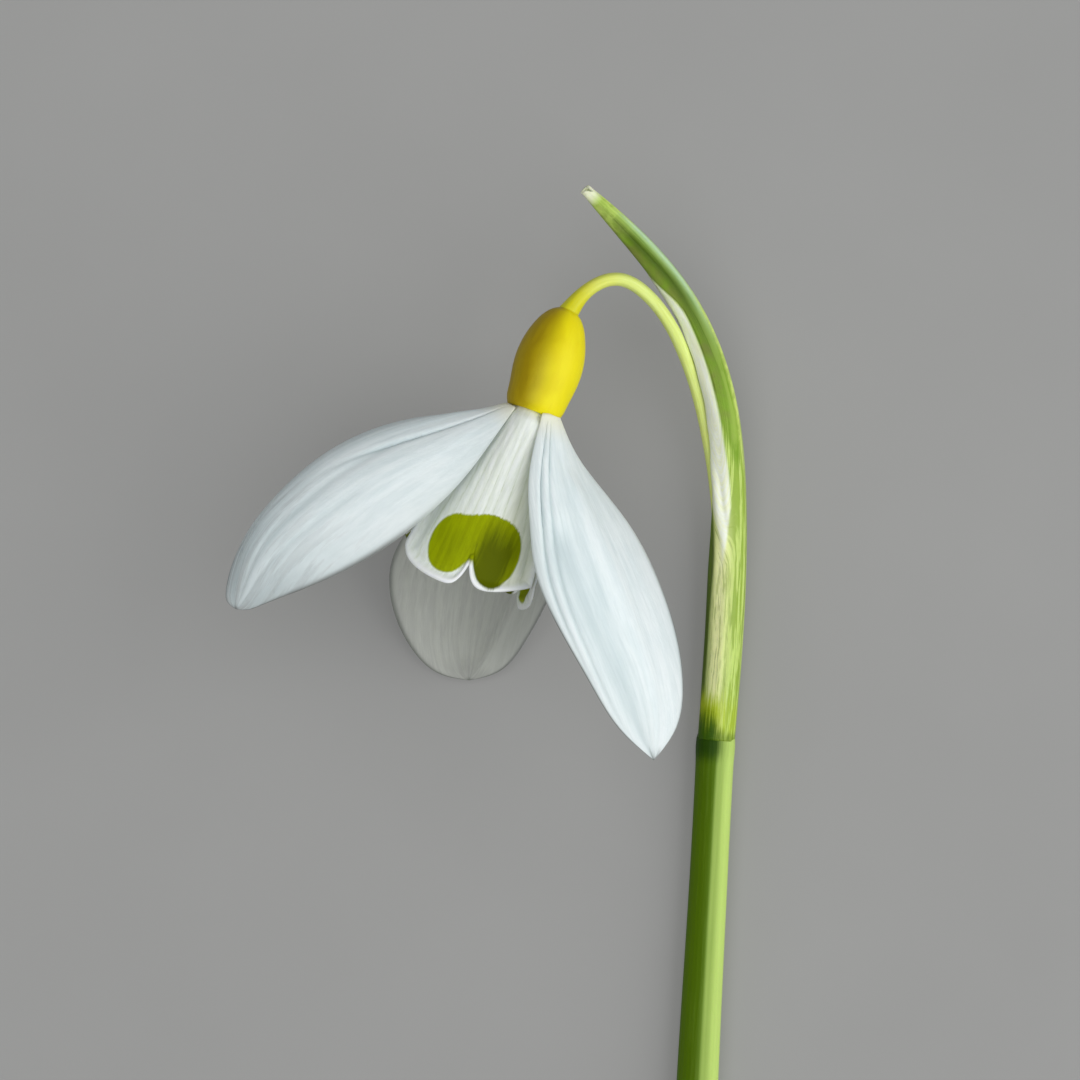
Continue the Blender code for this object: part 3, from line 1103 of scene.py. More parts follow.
@dataclass
class InnerPetal:
    """One short inner petal: a wing of the bell, notched, with its green mark.

    Attributes:
        name: the piece's name.
        node: the frame's node.
        turn: degrees round the flower's axis from its upper side.
        half_angle: degrees of the bell to each side.
        size: share of the full size.
        lobes: how far the two lobes reach past the notch.
        length: from the base to the bottom of the notch.
        notch: how wide the notch is on each side, as a share of the half width.
        fall: how fully each lobe keeps its length towards its margin.
        blunt: exponent of each lobe's end, which is blunter the smaller it is.
        flatness: how much closer to the axis the midrib lies.
        flare: how far the lobes' ends turn outwards.
        lip: height of the rolled rim.
        groove: depth of the lengthwise grooves.
        grooves: their number from margin to midrib.
        crown: how much further out the midrib lies near the base.
        thickness: thickness of the blade.
        rows, columns: how many points it has along its length and across it.
    """

    name: str
    node: str
    turn: float
    half_angle: float
    size: float = 1.0
    lobes: tuple[float, float] = (2.25, 2.4)
    length: float = 11.9
    notch: tuple[float, float] = (0.05, 0.12)
    fall: tuple[float, float] = (3.0, 1.2)
    blunt: tuple[float, float] = (0.6, 1.0)
    flatness: float = 0.12
    flare: float = 0.3
    lip: float = 0.16
    groove: float = 0.016
    grooves: float = 6.0
    crown: float = 0.7
    thickness: float = 0.24
    rows: int = 150
    columns: int = 141

    def surface(self) -> Skin:
        """The petal's closed surface.

        Columns follow half a cosine wave on each side of the midrib. Past the notch a
        lobe rises as 1 - e to the minus of the place across over the notch's width,
        and falls to the margin as (1 - that place to the fall) to the blunt. The radius
        follows the bell's profile and a crown near the base, with grooves as cosines
        across and a rolled lip as a bell curve of the distance to the rim.

        Returns:
            The surface with its marks.
        """
        rise = np.sin(np.linspace(0, math.pi / 2, self.rows))[:, None]
        half = np.linspace(-1, 1, self.columns)[None, :]
        across = np.sign(half) * (0.5 - 0.5 * np.cos(math.pi * np.abs(half)))
        lobe, notch, fall, blunt = (np.where(half < 0, *pair) for pair in (
            self.lobes, self.notch, self.fall, self.blunt))
        reach = lobe * (1 - np.exp(-np.abs(across) / notch)) * (
            1 - np.abs(across) ** fall) ** blunt
        run = rise * (self.length + reach)
        part = run / (self.length + max(self.lobes))
        angle = np.radians(self.half_angle * across)
        bell = profile(BELL_RADIUS, part) * (1 - self.flatness * part * (1 - across ** 2))
        flat = bell * np.sin(angle)
        wide = profile(BELL_RADIUS, part[:, :1]) * math.sin(math.radians(self.half_angle))
        rim = np.minimum((1 - rise) * (self.length + reach), (1 - np.abs(across)) * wide)
        lip = hill(0.12, 0.24, rim) * ease(0.35, 0.7, part)
        phase = self.grooves * across + 0.25 * np.sin(5 * across + 1) + 0.1 * np.sin(6 * part)
        waves = np.cos(2 * math.pi * phase) * (1 - 0.8 * ease(0.5, 0.75, part))
        crown = self.crown * (1 - across ** 2) * ease(0.0, 0.08, part) * (1 - ease(0.25, 0.6, part))
        fold = -0.06 * hill(0.0, 0.12, across) * (1 - ease(0.5, 0.75, part))
        curl = self.flare * ease(0.78, 1.0, part) ** 2
        bell = bell + crown + ease(0.03, 0.25, rise) * (self.groove * waves + fold)
        bell = bell + curl + self.lip * (lip - 0.7 * hill(0.75, 0.3, rim) * ease(0.5, 0.8, part))
        axis, upper, side = bell_directions()
        facing = np.radians(self.turn) + angle
        outward = np.cos(facing)[..., None] * upper + np.sin(facing)[..., None] * side
        middle = FLOWER_BASE + self.size * (run[..., None] * axis + bell[..., None] * outward)
        rounded = np.sqrt(np.clip(1 - across ** 14, 0, 1)) * np.sqrt(1 - 0.98 * rise ** 60)
        body = (self.thickness * (1 - 0.3 * across ** 2) + 0.1 * lip) * self.size
        lines = np.abs(np.sin(math.pi * phase)) ** 40
        marks = {"lie": np.stack([flat, run, 0 * flat], axis=-1), "lip": lip,
                 "veins": lines * ease(0.1, 0.4, part) * (1 - across ** 8),
                 "warm": ease(0.1, 0.45, across) * ease(0.05, 0.3, part),
                 **self._green(flat, run - self.length)}
        return thin_wall(middle, body * rounded, Cap.ZIP, marks)

    @staticmethod
    def _green(flat: Array, past: Array) -> dict[str, Array]:
        """The mark: three ellipses, two beside the notch and one above it, run together.

        Each ellipse gives a rough distance, (r - 1) times its smaller half axis,
        where r is the length of the place over the half axes. Two distances a and b
        join smoothly as their least value, less the square of the overlap within the
        join's width over four widths. The result is below zero inside the mark.

        Args:
            flat: place across the petal in millimetres.
            past: place along the petal past the notch in millimetres.

        Returns:
            The distance, the share of painted shade in the mark's colour, and how frayed the edge
            is.
        """
        def ellipse(x: float, y: float, wide: float, tall: float) -> Array:
            """Distance to one ellipse."""
            return (np.hypot((flat - x) / wide, (past - y) / tall) - 1) * min(wide, tall)

        def join(a: Array, b: Array, width: float = 0.9) -> Array:
            """The least of two distances, with their corner filled in."""
            return np.minimum(a, b) - np.clip(width - np.abs(a - b), 0, None) ** 2 / (4 * width)
        left, right = ellipse(-1.65, -0.62, 1.5, 2.2), ellipse(1.6, -1.0, 1.5, 2.5)
        edge = join(join(left, ellipse(0.25, -2.1, 1.35, 1.4)), right)
        # painted shade: the mark grows darker over its right half, where the right outer petal
        # shades it
        depth = 0.15 + 0.85 * ease(-0.4, 0.8, flat) * ease(3.4, 2.0, flat) + 0.1 * ease(
            -0.3, -1.2, left)
        fray = 0.08 + 0.2 * ease(-2.2, -3.2, past)
        return {"green": edge, "depth": depth * ease(-4.6, -1.0, past), "fray": fray}

    def build(self, material: bpy.types.Material) -> None:
        """Make the petal and dress it."""
        settle(self.surface(), self.name, self.node, material)


@dataclass
class Ovary:
    """The egg-shaped ovary, with three faint lobes and a rim over the petals.

    Attributes:
        line: its centre line from the top to the petals.
        radius: its radius along that line.
        lobe: height of the three lobes as a share of the radius.
        pits: depth of the shallow grooves between them, as such a share.
        painted_shade_side: turn in radians of the side that is painted darker, as painted shade.
        girth: radius of the unrolled skin.
        rows, sides: how many points it has along its length and round it.
    """

    line: list[Point]
    radius: list[Knot]
    lobe: float = 0.007
    pits: float = 0.0015
    painted_shade_side: float = 0.3
    girth: float = 2.3
    rows: int = 110
    sides: int = 96

    def build(self, material: bpy.types.Material) -> None:
        """Make the ovary: a radius of its own profile times 1 plus a cosine of three turns.

        Args:
            material: its finish.
        """
        at = 0.5 - 0.5 * np.cos(np.linspace(0, math.pi, self.rows))
        angle, rise = round_angles(self.sides), at[:, None]
        bumps = self.lobe * np.cos(3 * angle + 0.6) + self.pits * np.cos(17 * angle)
        rings = rod(self.line, profile(self.radius, rise) * (1 + bumps * np.sin(math.pi * rise)),
                    at, angle)
        # painted shade: the ovary's side towards the flower's left is given the darker far colour
        tone = ease(-0.1, 0.9, np.cos(angle - self.painted_shade_side))
        settle(rod_skin(rings, angle, self.girth, tone=tone), "seed_vessel", "ovary",
               material)


@dataclass
class Pedicel:
    """The thin stalk from inside the sheath, over its arch, down to the ovary.

    Attributes:
        line: the points that it passes through.
        radius: its radius along the line.
        girth: radius of the unrolled skin.
        rows, sides: how many points it has along its length and round it.
    """

    line: list[Point]
    radius: list[Knot]
    girth: float = 0.5
    rows: int = 260
    sides: int = 40

    def build(self, material: bpy.types.Material) -> None:
        """Make the stalk: a slightly ridged rod that widens where it meets the ovary.

        Args:
            material: its finish.
        """
        at = np.linspace(0, 1, self.rows)
        angle, rise = round_angles(self.sides), at[:, None]
        ridges = 1 + 0.02 * np.cos(6 * angle) + 0.012 * np.sin(40 * rise)
        rings = rod(self.line, profile(self.radius, rise) * ridges, at, angle)
        # the far colour away from the ovary is its own; painted light makes the upper side a little
        # paler
        tone = (1 - ease(0.84, 1.0, rise)) * (0.85 + 0.15 * np.sin(angle))
        settle(rod_skin(rings, angle, self.girth, tone=tone), "nodding_stalk", "pedicel",
               material)


@dataclass
class Scape:
    """The solid flower stalk, four-sided with blunt edges, and its clean cut end.

    Attributes:
        line: its centre line from the cut to the joint.
        radius: half its width along the line.
        flatness: height of the section over its width.
        corner: exponent of the section, from 1 for a diamond to 2 for a circle.
        pith_depth: how far the cut's middle has drawn back.
        girth: radius of the unrolled skin.
        rows, cut_rows, sides: its points along its length, over the cut and round it.
    """

    line: list[Point]
    radius: list[Knot]
    flatness: float = 0.97
    corner: float = 1.5
    pith_depth: float = 0.12
    girth: float = 1.4
    rows: int = 320
    cut_rows: int = 16
    sides: int = 96

    def build(self, material: bpy.types.Material) -> None:
        """Make the stalk.

        Its section is the curve where |x| to a power plus |z| to that power is 1. The
        cut end is the same section shrunk to nothing, drawn in by a cosine.

        Args:
            material: its finish.
        """
        body = 1 - np.cos(np.linspace(0, math.pi / 2, self.rows))
        at = np.concatenate([np.zeros(self.cut_rows), body])
        shrink = np.concatenate([np.sin(np.linspace(0.03, math.pi / 2, self.cut_rows)),
                                 np.ones(self.rows)])[:, None]
        angle, rise = round_angles(self.sides), at[:, None]
        power = self.corner + 0.45 * ease(0.93, 1.0, rise)
        section = (np.abs(np.cos(angle)) ** power + np.abs(np.sin(angle)) ** power) ** (-1 / power)
        collar = 1 + 0.035 * hill(0.985, 0.012, rise) - 0.05 * ease(0.994, 1.0, rise)
        grooves = 1 + 0.003 * np.cos(22 * angle) * (1 - ease(0.96, 1.0, rise))
        radii = profile(self.radius, rise) * section * shrink * collar * grooves
        centre, side, upper = frames(self.line, at)
        turn = angle[None, :, None]
        drawn = self.pith_depth * np.cos(math.pi / 2 * shrink) * (rise == 0)
        rings = centre[:, None] + radii[..., None] * (
            np.cos(turn) * side[:, None] + self.flatness * np.sin(turn) * upper[:, None])
        rings = rings + drawn[..., None] * np.cross(upper, side)[:, None]
        # painted light and shade: the right side paler and the far left edge darker
        right = np.cos(angle)
        tone = 0.5 * ease(-0.04, 0.18, right) + 0.5 * ease(0.3, 0.85, right)
        skin = rod_skin(rings, angle, self.girth, tone=tone - 0.35 * ease(-0.7, -0.95, right),
                        core=np.where((rise == 0) & (shrink < 0.93), 1.0, 0.0),
                        joint=ease(0.955, 0.985, rise) * (1 - 0.75 * ease(-0.2, 0.6, right)))
        settle(skin, "flower_stalk", "scape", material)


@dataclass
class Spathe:
    """The sheath: two thick green keels joined by papery skin, open on one side.

    Attributes:
        line: its centre line from the joint to the tip.
        radius: its outer radius along that line.
        reach: degrees that its wall goes round to each side.
        seam: where a crease runs along each keel, in degrees from its back; its dark colour is
            painted shade.
        paper_from: where each keel gives way to papery skin along that line, in degrees.
        keel_angle: where the middle of each keel lies, in degrees from its back.
        keel_end: the fraction of the length at which each keel's lower point lies.
        keel_taper: how much higher the keel starts at its sides.
        gather: the fraction of the length where the papery folds come together.
        keel_wall: thickness of the keels.
        paper_wall: thickness of the papery skin.
        girth: radius of the unrolled skin.
        length: length of the unrolled skin.
        rows, columns: how many points it has along its length and across its wall.
    """

    line: list[Point]
    radius: list[Knot]
    reach: list[Knot]
    seam: list[Knot]
    paper_from: list[Knot]
    keel_angle: float = 52.0
    keel_end: float = 0.43
    keel_taper: float = 0.08
    gather: float = 0.29
    keel_wall: float = 0.34
    paper_wall: float = 0.11
    girth: float = 1.4
    length: float = 42.0
    rows: int = 330
    columns: int = 91

    def build(self, material: bpy.types.Material) -> None:
        """Make the sheath: an open channel whose wall is thick at its keels.

        A point is the centre plus the radius times (cos, sin) of its angle, and the
        angle runs over the reach on both sides. The tip's middle is a little shorter,
        so that the two keels end apart. Folds are cosines of the angle that die out
        upwards, and crumples are products of two sines.

        Args:
            material: its finish.
        """
        rise = np.linspace(0, 1, self.rows)[:, None]
        half = np.sin(np.linspace(-math.pi / 2, math.pi / 2, self.columns))[None, :]
        at = rise * (1 - 0.010 * hill(0.3, 0.2, half) * rise ** 8)
        reach = profile(self.reach, at)
        degrees = reach * half
        angle, span = np.radians(degrees), np.abs(degrees)
        seam = profile(self.seam, at)
        paper_from = profile(self.paper_from, at)
        taper = self.keel_end + self.keel_taper * np.abs(span - self.keel_angle) / 45
        green = ease(0, 0.04, at - taper) * ease(3, -3, span - paper_from)
        wall = self.paper_wall + (self.keel_wall - self.paper_wall) * np.maximum(
            green, ease(0.32, 0.05, at))
        wall = wall * (0.6 + 0.4 * ease(1.0, 0.97, at))
        crumple = np.sin(23 * at + 0.05 * degrees) * np.sin(61 * at - 0.04 * degrees + 1)
        loose = ease(0.3, 0.4, at) * (1 - ease(0.72, 0.8, at)) * ease(60, 110, span)
        bulge = 1 + 0.03 * green * hill(self.keel_angle, 30, span) + 0.035 * crumple * loose
        crease = -0.045 * hill(0, 7, span - seam) * ease(0.5, 0.6, at) * (1 - ease(0.94, 1, at))
        folds = 0.016 * np.cos(11 * angle + 2.5 * at) * ease(0.04, 0.12, at) * (
            1 - ease(0.4, 0.55, at))
        covered = 95 + 280 * (at - self.gather)
        gather = (0.07 * hill(0, 12, span - covered) - 0.05 * hill(-20, 8, span - covered)) * ease(
            self.gather - 0.02, self.gather + 0.05, at) * (1 - ease(0.42, 0.5, at))
        radii = profile(self.radius, at) * (bulge + folds + gather + crease) - wall / 2
        centre, side, upper = frames(self.line, at)
        middle = centre + radii[..., None] * (
            np.cos(angle)[..., None] * side + np.sin(angle)[..., None] * upper)
        rounded = np.sqrt(np.clip(1 - half ** 16, 0, 1))
        slant = 17.0 * np.clip(at - self.gather, 0, 0.25) * ease(50, 115, span) * np.sign(angle)
        facing_away = ease(60, 115, degrees)
        marks = {
            "lie": np.stack([self.girth * angle - slant, self.length * at, 0 * angle], axis=-1),
            "green": green,
            "inner": ease(-4, 8, span - seam) * ease(0.45, 0.6, at),
            # painted shade along the crease of each keel
            "seam": hill(0, 24, span - seam) * ease(0.52, 0.82, at) * (1 - ease(0.92, 0.98, at)),
            # painted highlight on the keels' outer side, in their upper part
            "painted_highlight": hill(32, 22, span) * ease(0.62, 0.8, at) * (1 - ease(0.9, 0.96, at)),
            # painted light along the keels' outer edge, and over the sheath near its tip
            "rim": np.maximum(ease(46, 26, span) * ease(0.42, 0.5, at) * (
                1 - 0.8 * ease(0.7, 0.78, at) * (1 - ease(0.88, 0.95, at))),
                0.55 * ease(0.88, 0.96, at)),
            "tube": 1 - ease(-3, 6, span - paper_from) * ease(0.27, 0.33, at) * ease(
                8, -8, span - paper_from - 8 - 80 * ease(0.3, 0.45, at)),
            "cream": hill(112, 30, span) * ease(0.46, 0.3, at),
            # painted shade on the tube's far edge, the side turned from the light
            "dark": ease(0, 14, span - 138 + 14 * hill(0.31, 0.07, at)) * ease(0.42, 0.38, at),
            "foot": ease(0.11, 0.04, at) * (0.5 + 0.5 * facing_away),
            "joint": ease(0.03 + 0.06 * facing_away, 0.004, at) * (0.6 + 0.4 * facing_away),
            "tip": ease(0.968, 0.99, at),
            "paper": ease(-3, 6, span - paper_from) * ease(0.4, 0.5, at) * ease(0.99, 0.9, at),
        }
        settle(thin_wall(middle, wall * rounded, Cap.ZIP, marks), "sheath", "spathe",
               material)


@dataclass
class Stamens:
    """Six stamens in a ring, each a short filament with a pointed anther.

    Attributes:
        circle: radius of the ring that they stand on.
        spread: radius of the ring at their tips.
        length: length of each.
        radius: its radius along its length.
        first_angle: degrees from the upper side to the first one.
        girth: radius of the unrolled skin.
        count: how many there are.
        rows, sides: how many points each has along its length and round it.
    """

    circle: float = 0.75
    spread: float = 0.9
    length: float = 6.4
    radius: tuple[Knot, ...] = ((0, 0.14), (0.2, 0.13), (0.27, 0.2), (0.34, 0.34), (0.5, 0.37),
                                (0.8, 0.22), (0.93, 0.1), (1, 0.03))
    first_angle: float = 30.0
    girth: float = 0.35
    count: int = 6
    rows: int = 90
    sides: int = 36

    def build(self, material: bpy.types.Material) -> None:
        """Make the stamens: each anther has two grooved halves, a cosine of two turns."""
        for index in range(self.count):
            self._stamen(index, material)

    def _stamen(self, index: int, material: bpy.types.Material) -> None:
        """Make one stamen.

        Args:
            index: its number from 0.
            material: its finish.
        """
        axis, upper, side = bell_directions()
        facing = math.radians(self.first_angle + 360 / self.count * index)
        outward = math.cos(facing) * upper + math.sin(facing) * side
        line = [FLOWER_BASE + self.circle * outward,
                FLOWER_BASE + self.spread * outward + 0.4 * self.length * axis,
                FLOWER_BASE + self.spread * outward + self.length * axis]
        at = np.linspace(0, 1, self.rows)
        angle, rise = round_angles(self.sides), at[:, None]
        anther = ease(0.26, 0.34, rise)
        grooves = 1 + anther * (0.1 * np.cos(2 * angle) + 0.06 * np.cos(4 * angle))
        rings = rod(line, profile(self.radius, rise) * grooves, at, angle)
        settle(rod_skin(rings, angle, self.girth, tone=anther), f"pollen_stamen_{index + 1}",
               f"stamen_{index + 1}", material)


@dataclass
class Style:
    """The single thread that stands in the middle of the stamens.

    Attributes:
        length: its length.
        radius: its radius along its length.
        girth: radius of the unrolled skin.
        rows, sides: how many points it has along its length and round it.
    """

    length: float = 8.2
    radius: tuple[Knot, ...] = ((0, 0.2), (0.5, 0.16), (0.9, 0.12), (1, 0.07))
    girth: float = 0.15
    rows: int = 60
    sides: int = 24

    def build(self, material: bpy.types.Material) -> None:
        """Make the style: a tapered rod on the flower's axis.

        Args:
            material: its finish.
        """
        axis = bell_directions()[0]
        line = [FLOWER_BASE + share * self.length * axis for share in (0.0, 0.5, 1.0)]
        at = np.linspace(0, 1, self.rows)
        angle, rise = round_angles(self.sides), at[:, None]
        rings = rod(line, profile(self.radius, rise), at, angle)
        settle(rod_skin(rings, angle, self.girth, tone=ease(0.75, 1.0, rise)), "centre_style",
               "style", material)


@dataclass
class Corolla:
    """All six petals.

    Attributes:
        outer: the long outer petals.
        inner: the short inner petals.
    """

    outer: tuple[OuterPetal, ...] = (
        OuterPetal(
            "outer_petal_left", "outer_tepal_left",
            [(1.4, 35.3, 13.0), (-1.1, 34.6, 12.6), (-4.3, 34.3, 12.6), (-7.7, 33.5, 12.8),
             (-10.9, 31.8, 13.3), (-14.2, 29.0, 14.6), (-17.0, 25.6, 16.2), (-18.2, 22.3, 18.2),
             (-18.1, 21.3, 18.8), (-17.5, 20.8, 19.2)],
            [(1.6, 35.2, 13.8), (-1.7, 34.2, 15.2), (-5.5, 32.9, 16.8), (-9.5, 31.1, 18.0),
             (-13.1, 28.5, 18.8), (-16.1, 25.1, 19.3), (-17.5, 20.8, 19.2)],
            [(2.1, 35.0, 14.6), (0.7, 33.0, 16.2), (-1.1, 30.5, 17.9), (-3.5, 27.9, 19.4),
             (-6.3, 25.6, 20.2), (-9.8, 23.5, 20.6), (-13.0, 22.1, 20.4), (-15.6, 21.1, 19.9),
             (-16.7, 20.75, 19.6), (-17.5, 20.8, 19.2)],
            furrows=(Furrow(0.3, -0.7, 0.04, 0.22, 0.0, 0.62),
                     Furrow(-0.25, -0.2, 0.2, -0.12, 0.05, 0.85),
                     Furrow(0.0, 0.2, 0.07, 0.08, 0.3, 1.15),
                     Furrow(0.3, 0.2, 0.06, 0.06, 0.45, 1.15),
                     Furrow(0.5, -0.2, 0.22, -0.1, 0.1, 0.9)),
            clear_from=0.5, clear_first=0.6, painted_shade_first=0.35),
        OuterPetal(
            "outer_petal_right", "outer_tepal_right",
            [(4.0, 34.6, 14.9), (3.4, 32.3, 16.4), (3.0, 29.5, 18.2), (3.1, 26.7, 19.4),
             (3.5, 23.4, 20.4), (4.8, 20.1, 20.9), (7.1, 16.0, 20.8), (9.3, 12.5, 20.2),
             (11.8, 10.2, 19.0)],
            [(4.7, 34.5, 14.1), (5.1, 31.3, 15.9), (5.9, 28.1, 17.6), (7.3, 24.2, 19.0),
             (8.9, 20.0, 19.6), (10.8, 14.8, 19.6), (11.8, 10.2, 19.0)],
            [(5.2, 34.4, 13.1), (6.3, 31.9, 12.8), (8.1, 29.4, 12.9), (10.1, 26.8, 13.3),
             (11.9, 23.5, 14.2), (13.3, 19.6, 15.4), (13.9, 15.8, 16.6), (13.4, 12.4, 17.9),
             (11.8, 10.2, 19.0)],
            furrows=(Furrow(-0.5, -0.6, 0.05, 0.2, 0.0, 0.85),
                     Furrow(-0.24, -0.7, 0.055, 0.15, 0.0, 1.0),
                     Furrow(0.03, -0.15, 0.09, 0.08, 0.05, 0.9),
                     Furrow(-0.4, 0.05, 0.26, 0.3, 0.3, 1.25),
                     Furrow(0.2, 0.1, 0.2, -0.25, 0.15, 1.25),
                     Furrow(0.02, 0.0, 0.04, 0.03, 0.4, 1.2)),
            clear_from=0.95),
        OuterPetal(
            "outer_petal_back", "outer_tepal_back",
            [(2.3, 34.8, 11.5), (0.4, 32.4, 10.3), (-2.2, 29.7, 9.2), (-5.2, 26.9, 7.4),
             (-6.9, 23.8, 5.4), (-6.7, 20.5, 3.6), (-5.5, 17.9, 2.2), (-3.5, 16.0, 1.2),
             (-1.3, 15.5, 0.8)],
            [(3.3, 34.7, 10.9), (2.6, 32.3, 9.1), (1.5, 28.5, 6.2), (0.1, 24.5, 3.0),
             (-0.7, 20.7, 0.95), (-1.2, 17.7, 0.3), (-1.3, 15.5, 0.8)],
            [(4.2, 34.5, 11.5), (5.0, 32.0, 10.3), (5.5, 28.9, 9.2), (5.4, 25.6, 7.4),
             (5.0, 23.0, 5.6), (4.2, 20.9, 4.1), (2.7, 18.2, 2.6), (0.8, 16.1, 1.3),
             (-1.3, 15.5, 0.8)],
            furrows=(Furrow(0.55, -0.1, 0.05, -0.09, 0.3, 1.1),),
            clear_from=0.9, dense_second=0.6, clear_all=0.6),
    )
    inner: tuple[InnerPetal, ...] = (
        InnerPetal("inner_petal_front", "inner_tepal_front", 0, 60),
        InnerPetal("inner_petal_back_right", "inner_tepal_back_right", 121, 54, 0.95,
                   lobes=(2.1, 1.6), flare=0.1),
        InnerPetal("inner_petal_back_left", "inner_tepal_back_left", 239, 54, 0.95,
                   lobes=(1.8, 0.7), flare=0.1),
    )

    def build(self, effects: Effects) -> None:
        """Make all petals, with one finish for each kind.

        Args:
            effects: the shared node groups.
        """
        tissue = Body(roughness=0.55, specular=0.15, scatter=0.5, reach=(0.6, 0.6, 0.65))
        white = PetalFinish("petal white", tissue, light=(0.86, 0.96, 0.98),
                            shade=(0.70, 0.81, 0.83), vein=(0.44, 0.53, 0.54),
                            edge=(0.12, 0.13, 0.12), foot=(0.86, 0.88, 0.72), clear=0.95)
        # painted shade: a grey copy of the white finish for the back petal, which lies in the shade
        # of the others
        thin = PetalFinish("petal in shade", tissue, light=(0.54, 0.555, 0.51),
                           shade=(0.46, 0.475, 0.43), vein=(0.36, 0.38, 0.33),
                           edge=(0.10, 0.11, 0.09), foot=(0.80, 0.84, 0.72), clear=0.7)
        inner = Body(roughness=0.55, specular=0.05, scatter=0.4, reach=(0.5, 0.5, 0.4))
        marked = MarkedFinish("inner petal", inner, light=(0.88, 0.94, 0.86),
                              shade=(0.72, 0.78, 0.68), rim=(0.90, 0.93, 0.92),
                              warm=(0.70, 0.71, 0.56), line=(0.38, 0.44, 0.24),
                              mark_light=(0.36, 0.43, 0.0005), mark_painted_shade=(0.105, 0.13, 0.0001))
        bright, shaded, notched = (kind.material(effects) for kind in (white, thin, marked))
        for petal in self.outer:
            petal.build(shaded if petal.clear_all > 0 else bright)
        for petal in self.inner:
            petal.build(notched)


@dataclass
class Stalks:
    """The stalks and what they carry.

    Attributes:
        scape: the solid flower stalk.
        spathe: the sheath on its top.
        pedicel: the thin stalk that the flower hangs from.
        ovary: the seed vessel above the petals.
    """

    scape: Scape = field(default_factory=lambda: Scape(
        line=[(13.6, -50.6, 1.5), (14.4, -31.4, 1.5), (15.3, -11.2, 1.5), (15.9, -0.4, 1.5),
              (16.53, 11.6, 1.5)],
        radius=[(0, 1.5), (0.6, 1.5), (0.93, 1.36), (1, 1.38)]))
    spathe: Spathe = field(default_factory=lambda: Spathe(
        line=[(16.5, 11.2, 1.5), (17.1, 19.1, 1.6), (17.3, 28.5, 2.3), (16.6, 35.7, 3.8),
              (14.1, 42.4, 6.2), (9.5, 48.1, 9.0), (7.0, 50.6, 10.0)],
        radius=[(0, 1.38), (0.3, 1.4), (0.55, 1.33), (0.74, 1.12), (0.83, 0.98), (0.93, 0.72),
                (1, 0.42)],
        reach=[(0, 174), (0.26, 172), (0.36, 150), (0.6, 145), (0.7, 144), (0.78, 150), (1, 158)],
        seam=[(0, 55), (0.5, 55), (0.62, 60), (0.7, 72), (0.78, 75), (0.85, 87), (1, 92)],
        paper_from=[(0, 106), (0.3, 100), (0.42, 80), (0.48, 88), (0.55, 96), (0.7, 102),
                    (0.76, 112), (0.82, 155), (1, 155)]))
    pedicel: Pedicel = field(default_factory=lambda: Pedicel(
        line=[(16.6, 12.5, 1.5), (16.9, 21.3, 1.7), (16.5, 29.2, 2.5), (15.5, 34.9, 3.8),
              (13.9, 39.6, 5.9), (11.5, 43.1, 8.6), (9.3, 44.2, 10.4), (6.7, 42.9, 11.95),
              (5.7, 41.6, 12.2)],
        radius=[(0, 0.45), (0.5, 0.45), (0.9, 0.47), (0.965, 0.56), (1, 0.75)]))
    ovary: Ovary = field(default_factory=lambda: Ovary(
        line=[(5.8, 42.0, 12.2), (5.0, 39.8, 12.5), (4.2, 37.3, 12.8), (3.26, 34.7, 13.01)],
        radius=[(0, 0.45), (0.02, 0.78), (0.07, 1.27), (0.2, 1.87), (0.4, 2.34), (0.62, 2.43),
                (0.85, 2.2), (0.97, 1.99), (1, 1.86)]))

    def build(self, effects: Effects) -> None:
        """Make the four pieces, each with its own finish.

        Args:
            effects: the shared node groups.
        """
        # pale is painted light on the scape's right side, deep is painted shade on its left
        skin = StalkFinish("scape skin", Body(0.45, 0.1, 0.1, (0.4, 0.6, 0.2)),
                           deep=(0.085, 0.165, 0.0005), pale=(0.50, 0.68, 0.17),
                           joint=(0.022, 0.065, 0.0005), pith=(0.52, 0.62, 0.30),
                           vessel=(0.25, 0.38, 0.08))
        self.scape.build(skin.material(effects))
        # the sheath's highlight and light edge colours are painted light, its seam colour painted
        # shade
        sheath = SheathFinish("sheath", Body(0.45, 0.14, 0.2, (0.4, 0.5, 0.2)),
                              keel=(0.20, 0.35, 0.025), keel_light=(0.62, 0.78, 0.18),
                              olive=(0.21, 0.26, 0.05), painted_highlight=(0.58, 0.84, 0.58),
                              seam=(0.055, 0.105, 0.001), paper=(0.92, 0.98, 0.80),
                              tube=(0.54, 0.70, 0.18), stripe=(0.30, 0.44, 0.06),
                              cream=(0.92, 0.97, 0.46), vein=(0.32, 0.38, 0.12),
                              foot=(0.44, 0.56, 0.01), joint=(0.045, 0.115, 0.0005),
                              tip=(0.82, 0.86, 0.60), clear=0.15)
        self.spathe.build(sheath.material(effects))
        thread = FleshFinish("pedicel skin", Body(0.42, 0.25, 0.35, (0.6, 0.6, 0.2)),
                             near=(0.66, 0.62, 0.008), far=(0.72, 0.84, 0.27),
                             fleck=(0.52, 0.60, 0.06), streak=0.25, squeeze=(6.0, 6.0, 0.3))
        self.pedicel.build(thread.material(effects))
        # the far colour is painted shade on the ovary's left side; near is its own yellow
        gold = FleshFinish("ovary skin", Body(0.45, 0.2, 0.25, (0.8, 0.6, 0.1)),
                           near=(0.80, 0.70, 0.004), far=(0.38, 0.27, 0.0002),
                           fleck=(0.66, 0.50, 0.001), streak=0.14, squeeze=(1.6, 1.6, 0.4))
        self.ovary.build(gold.material(effects))


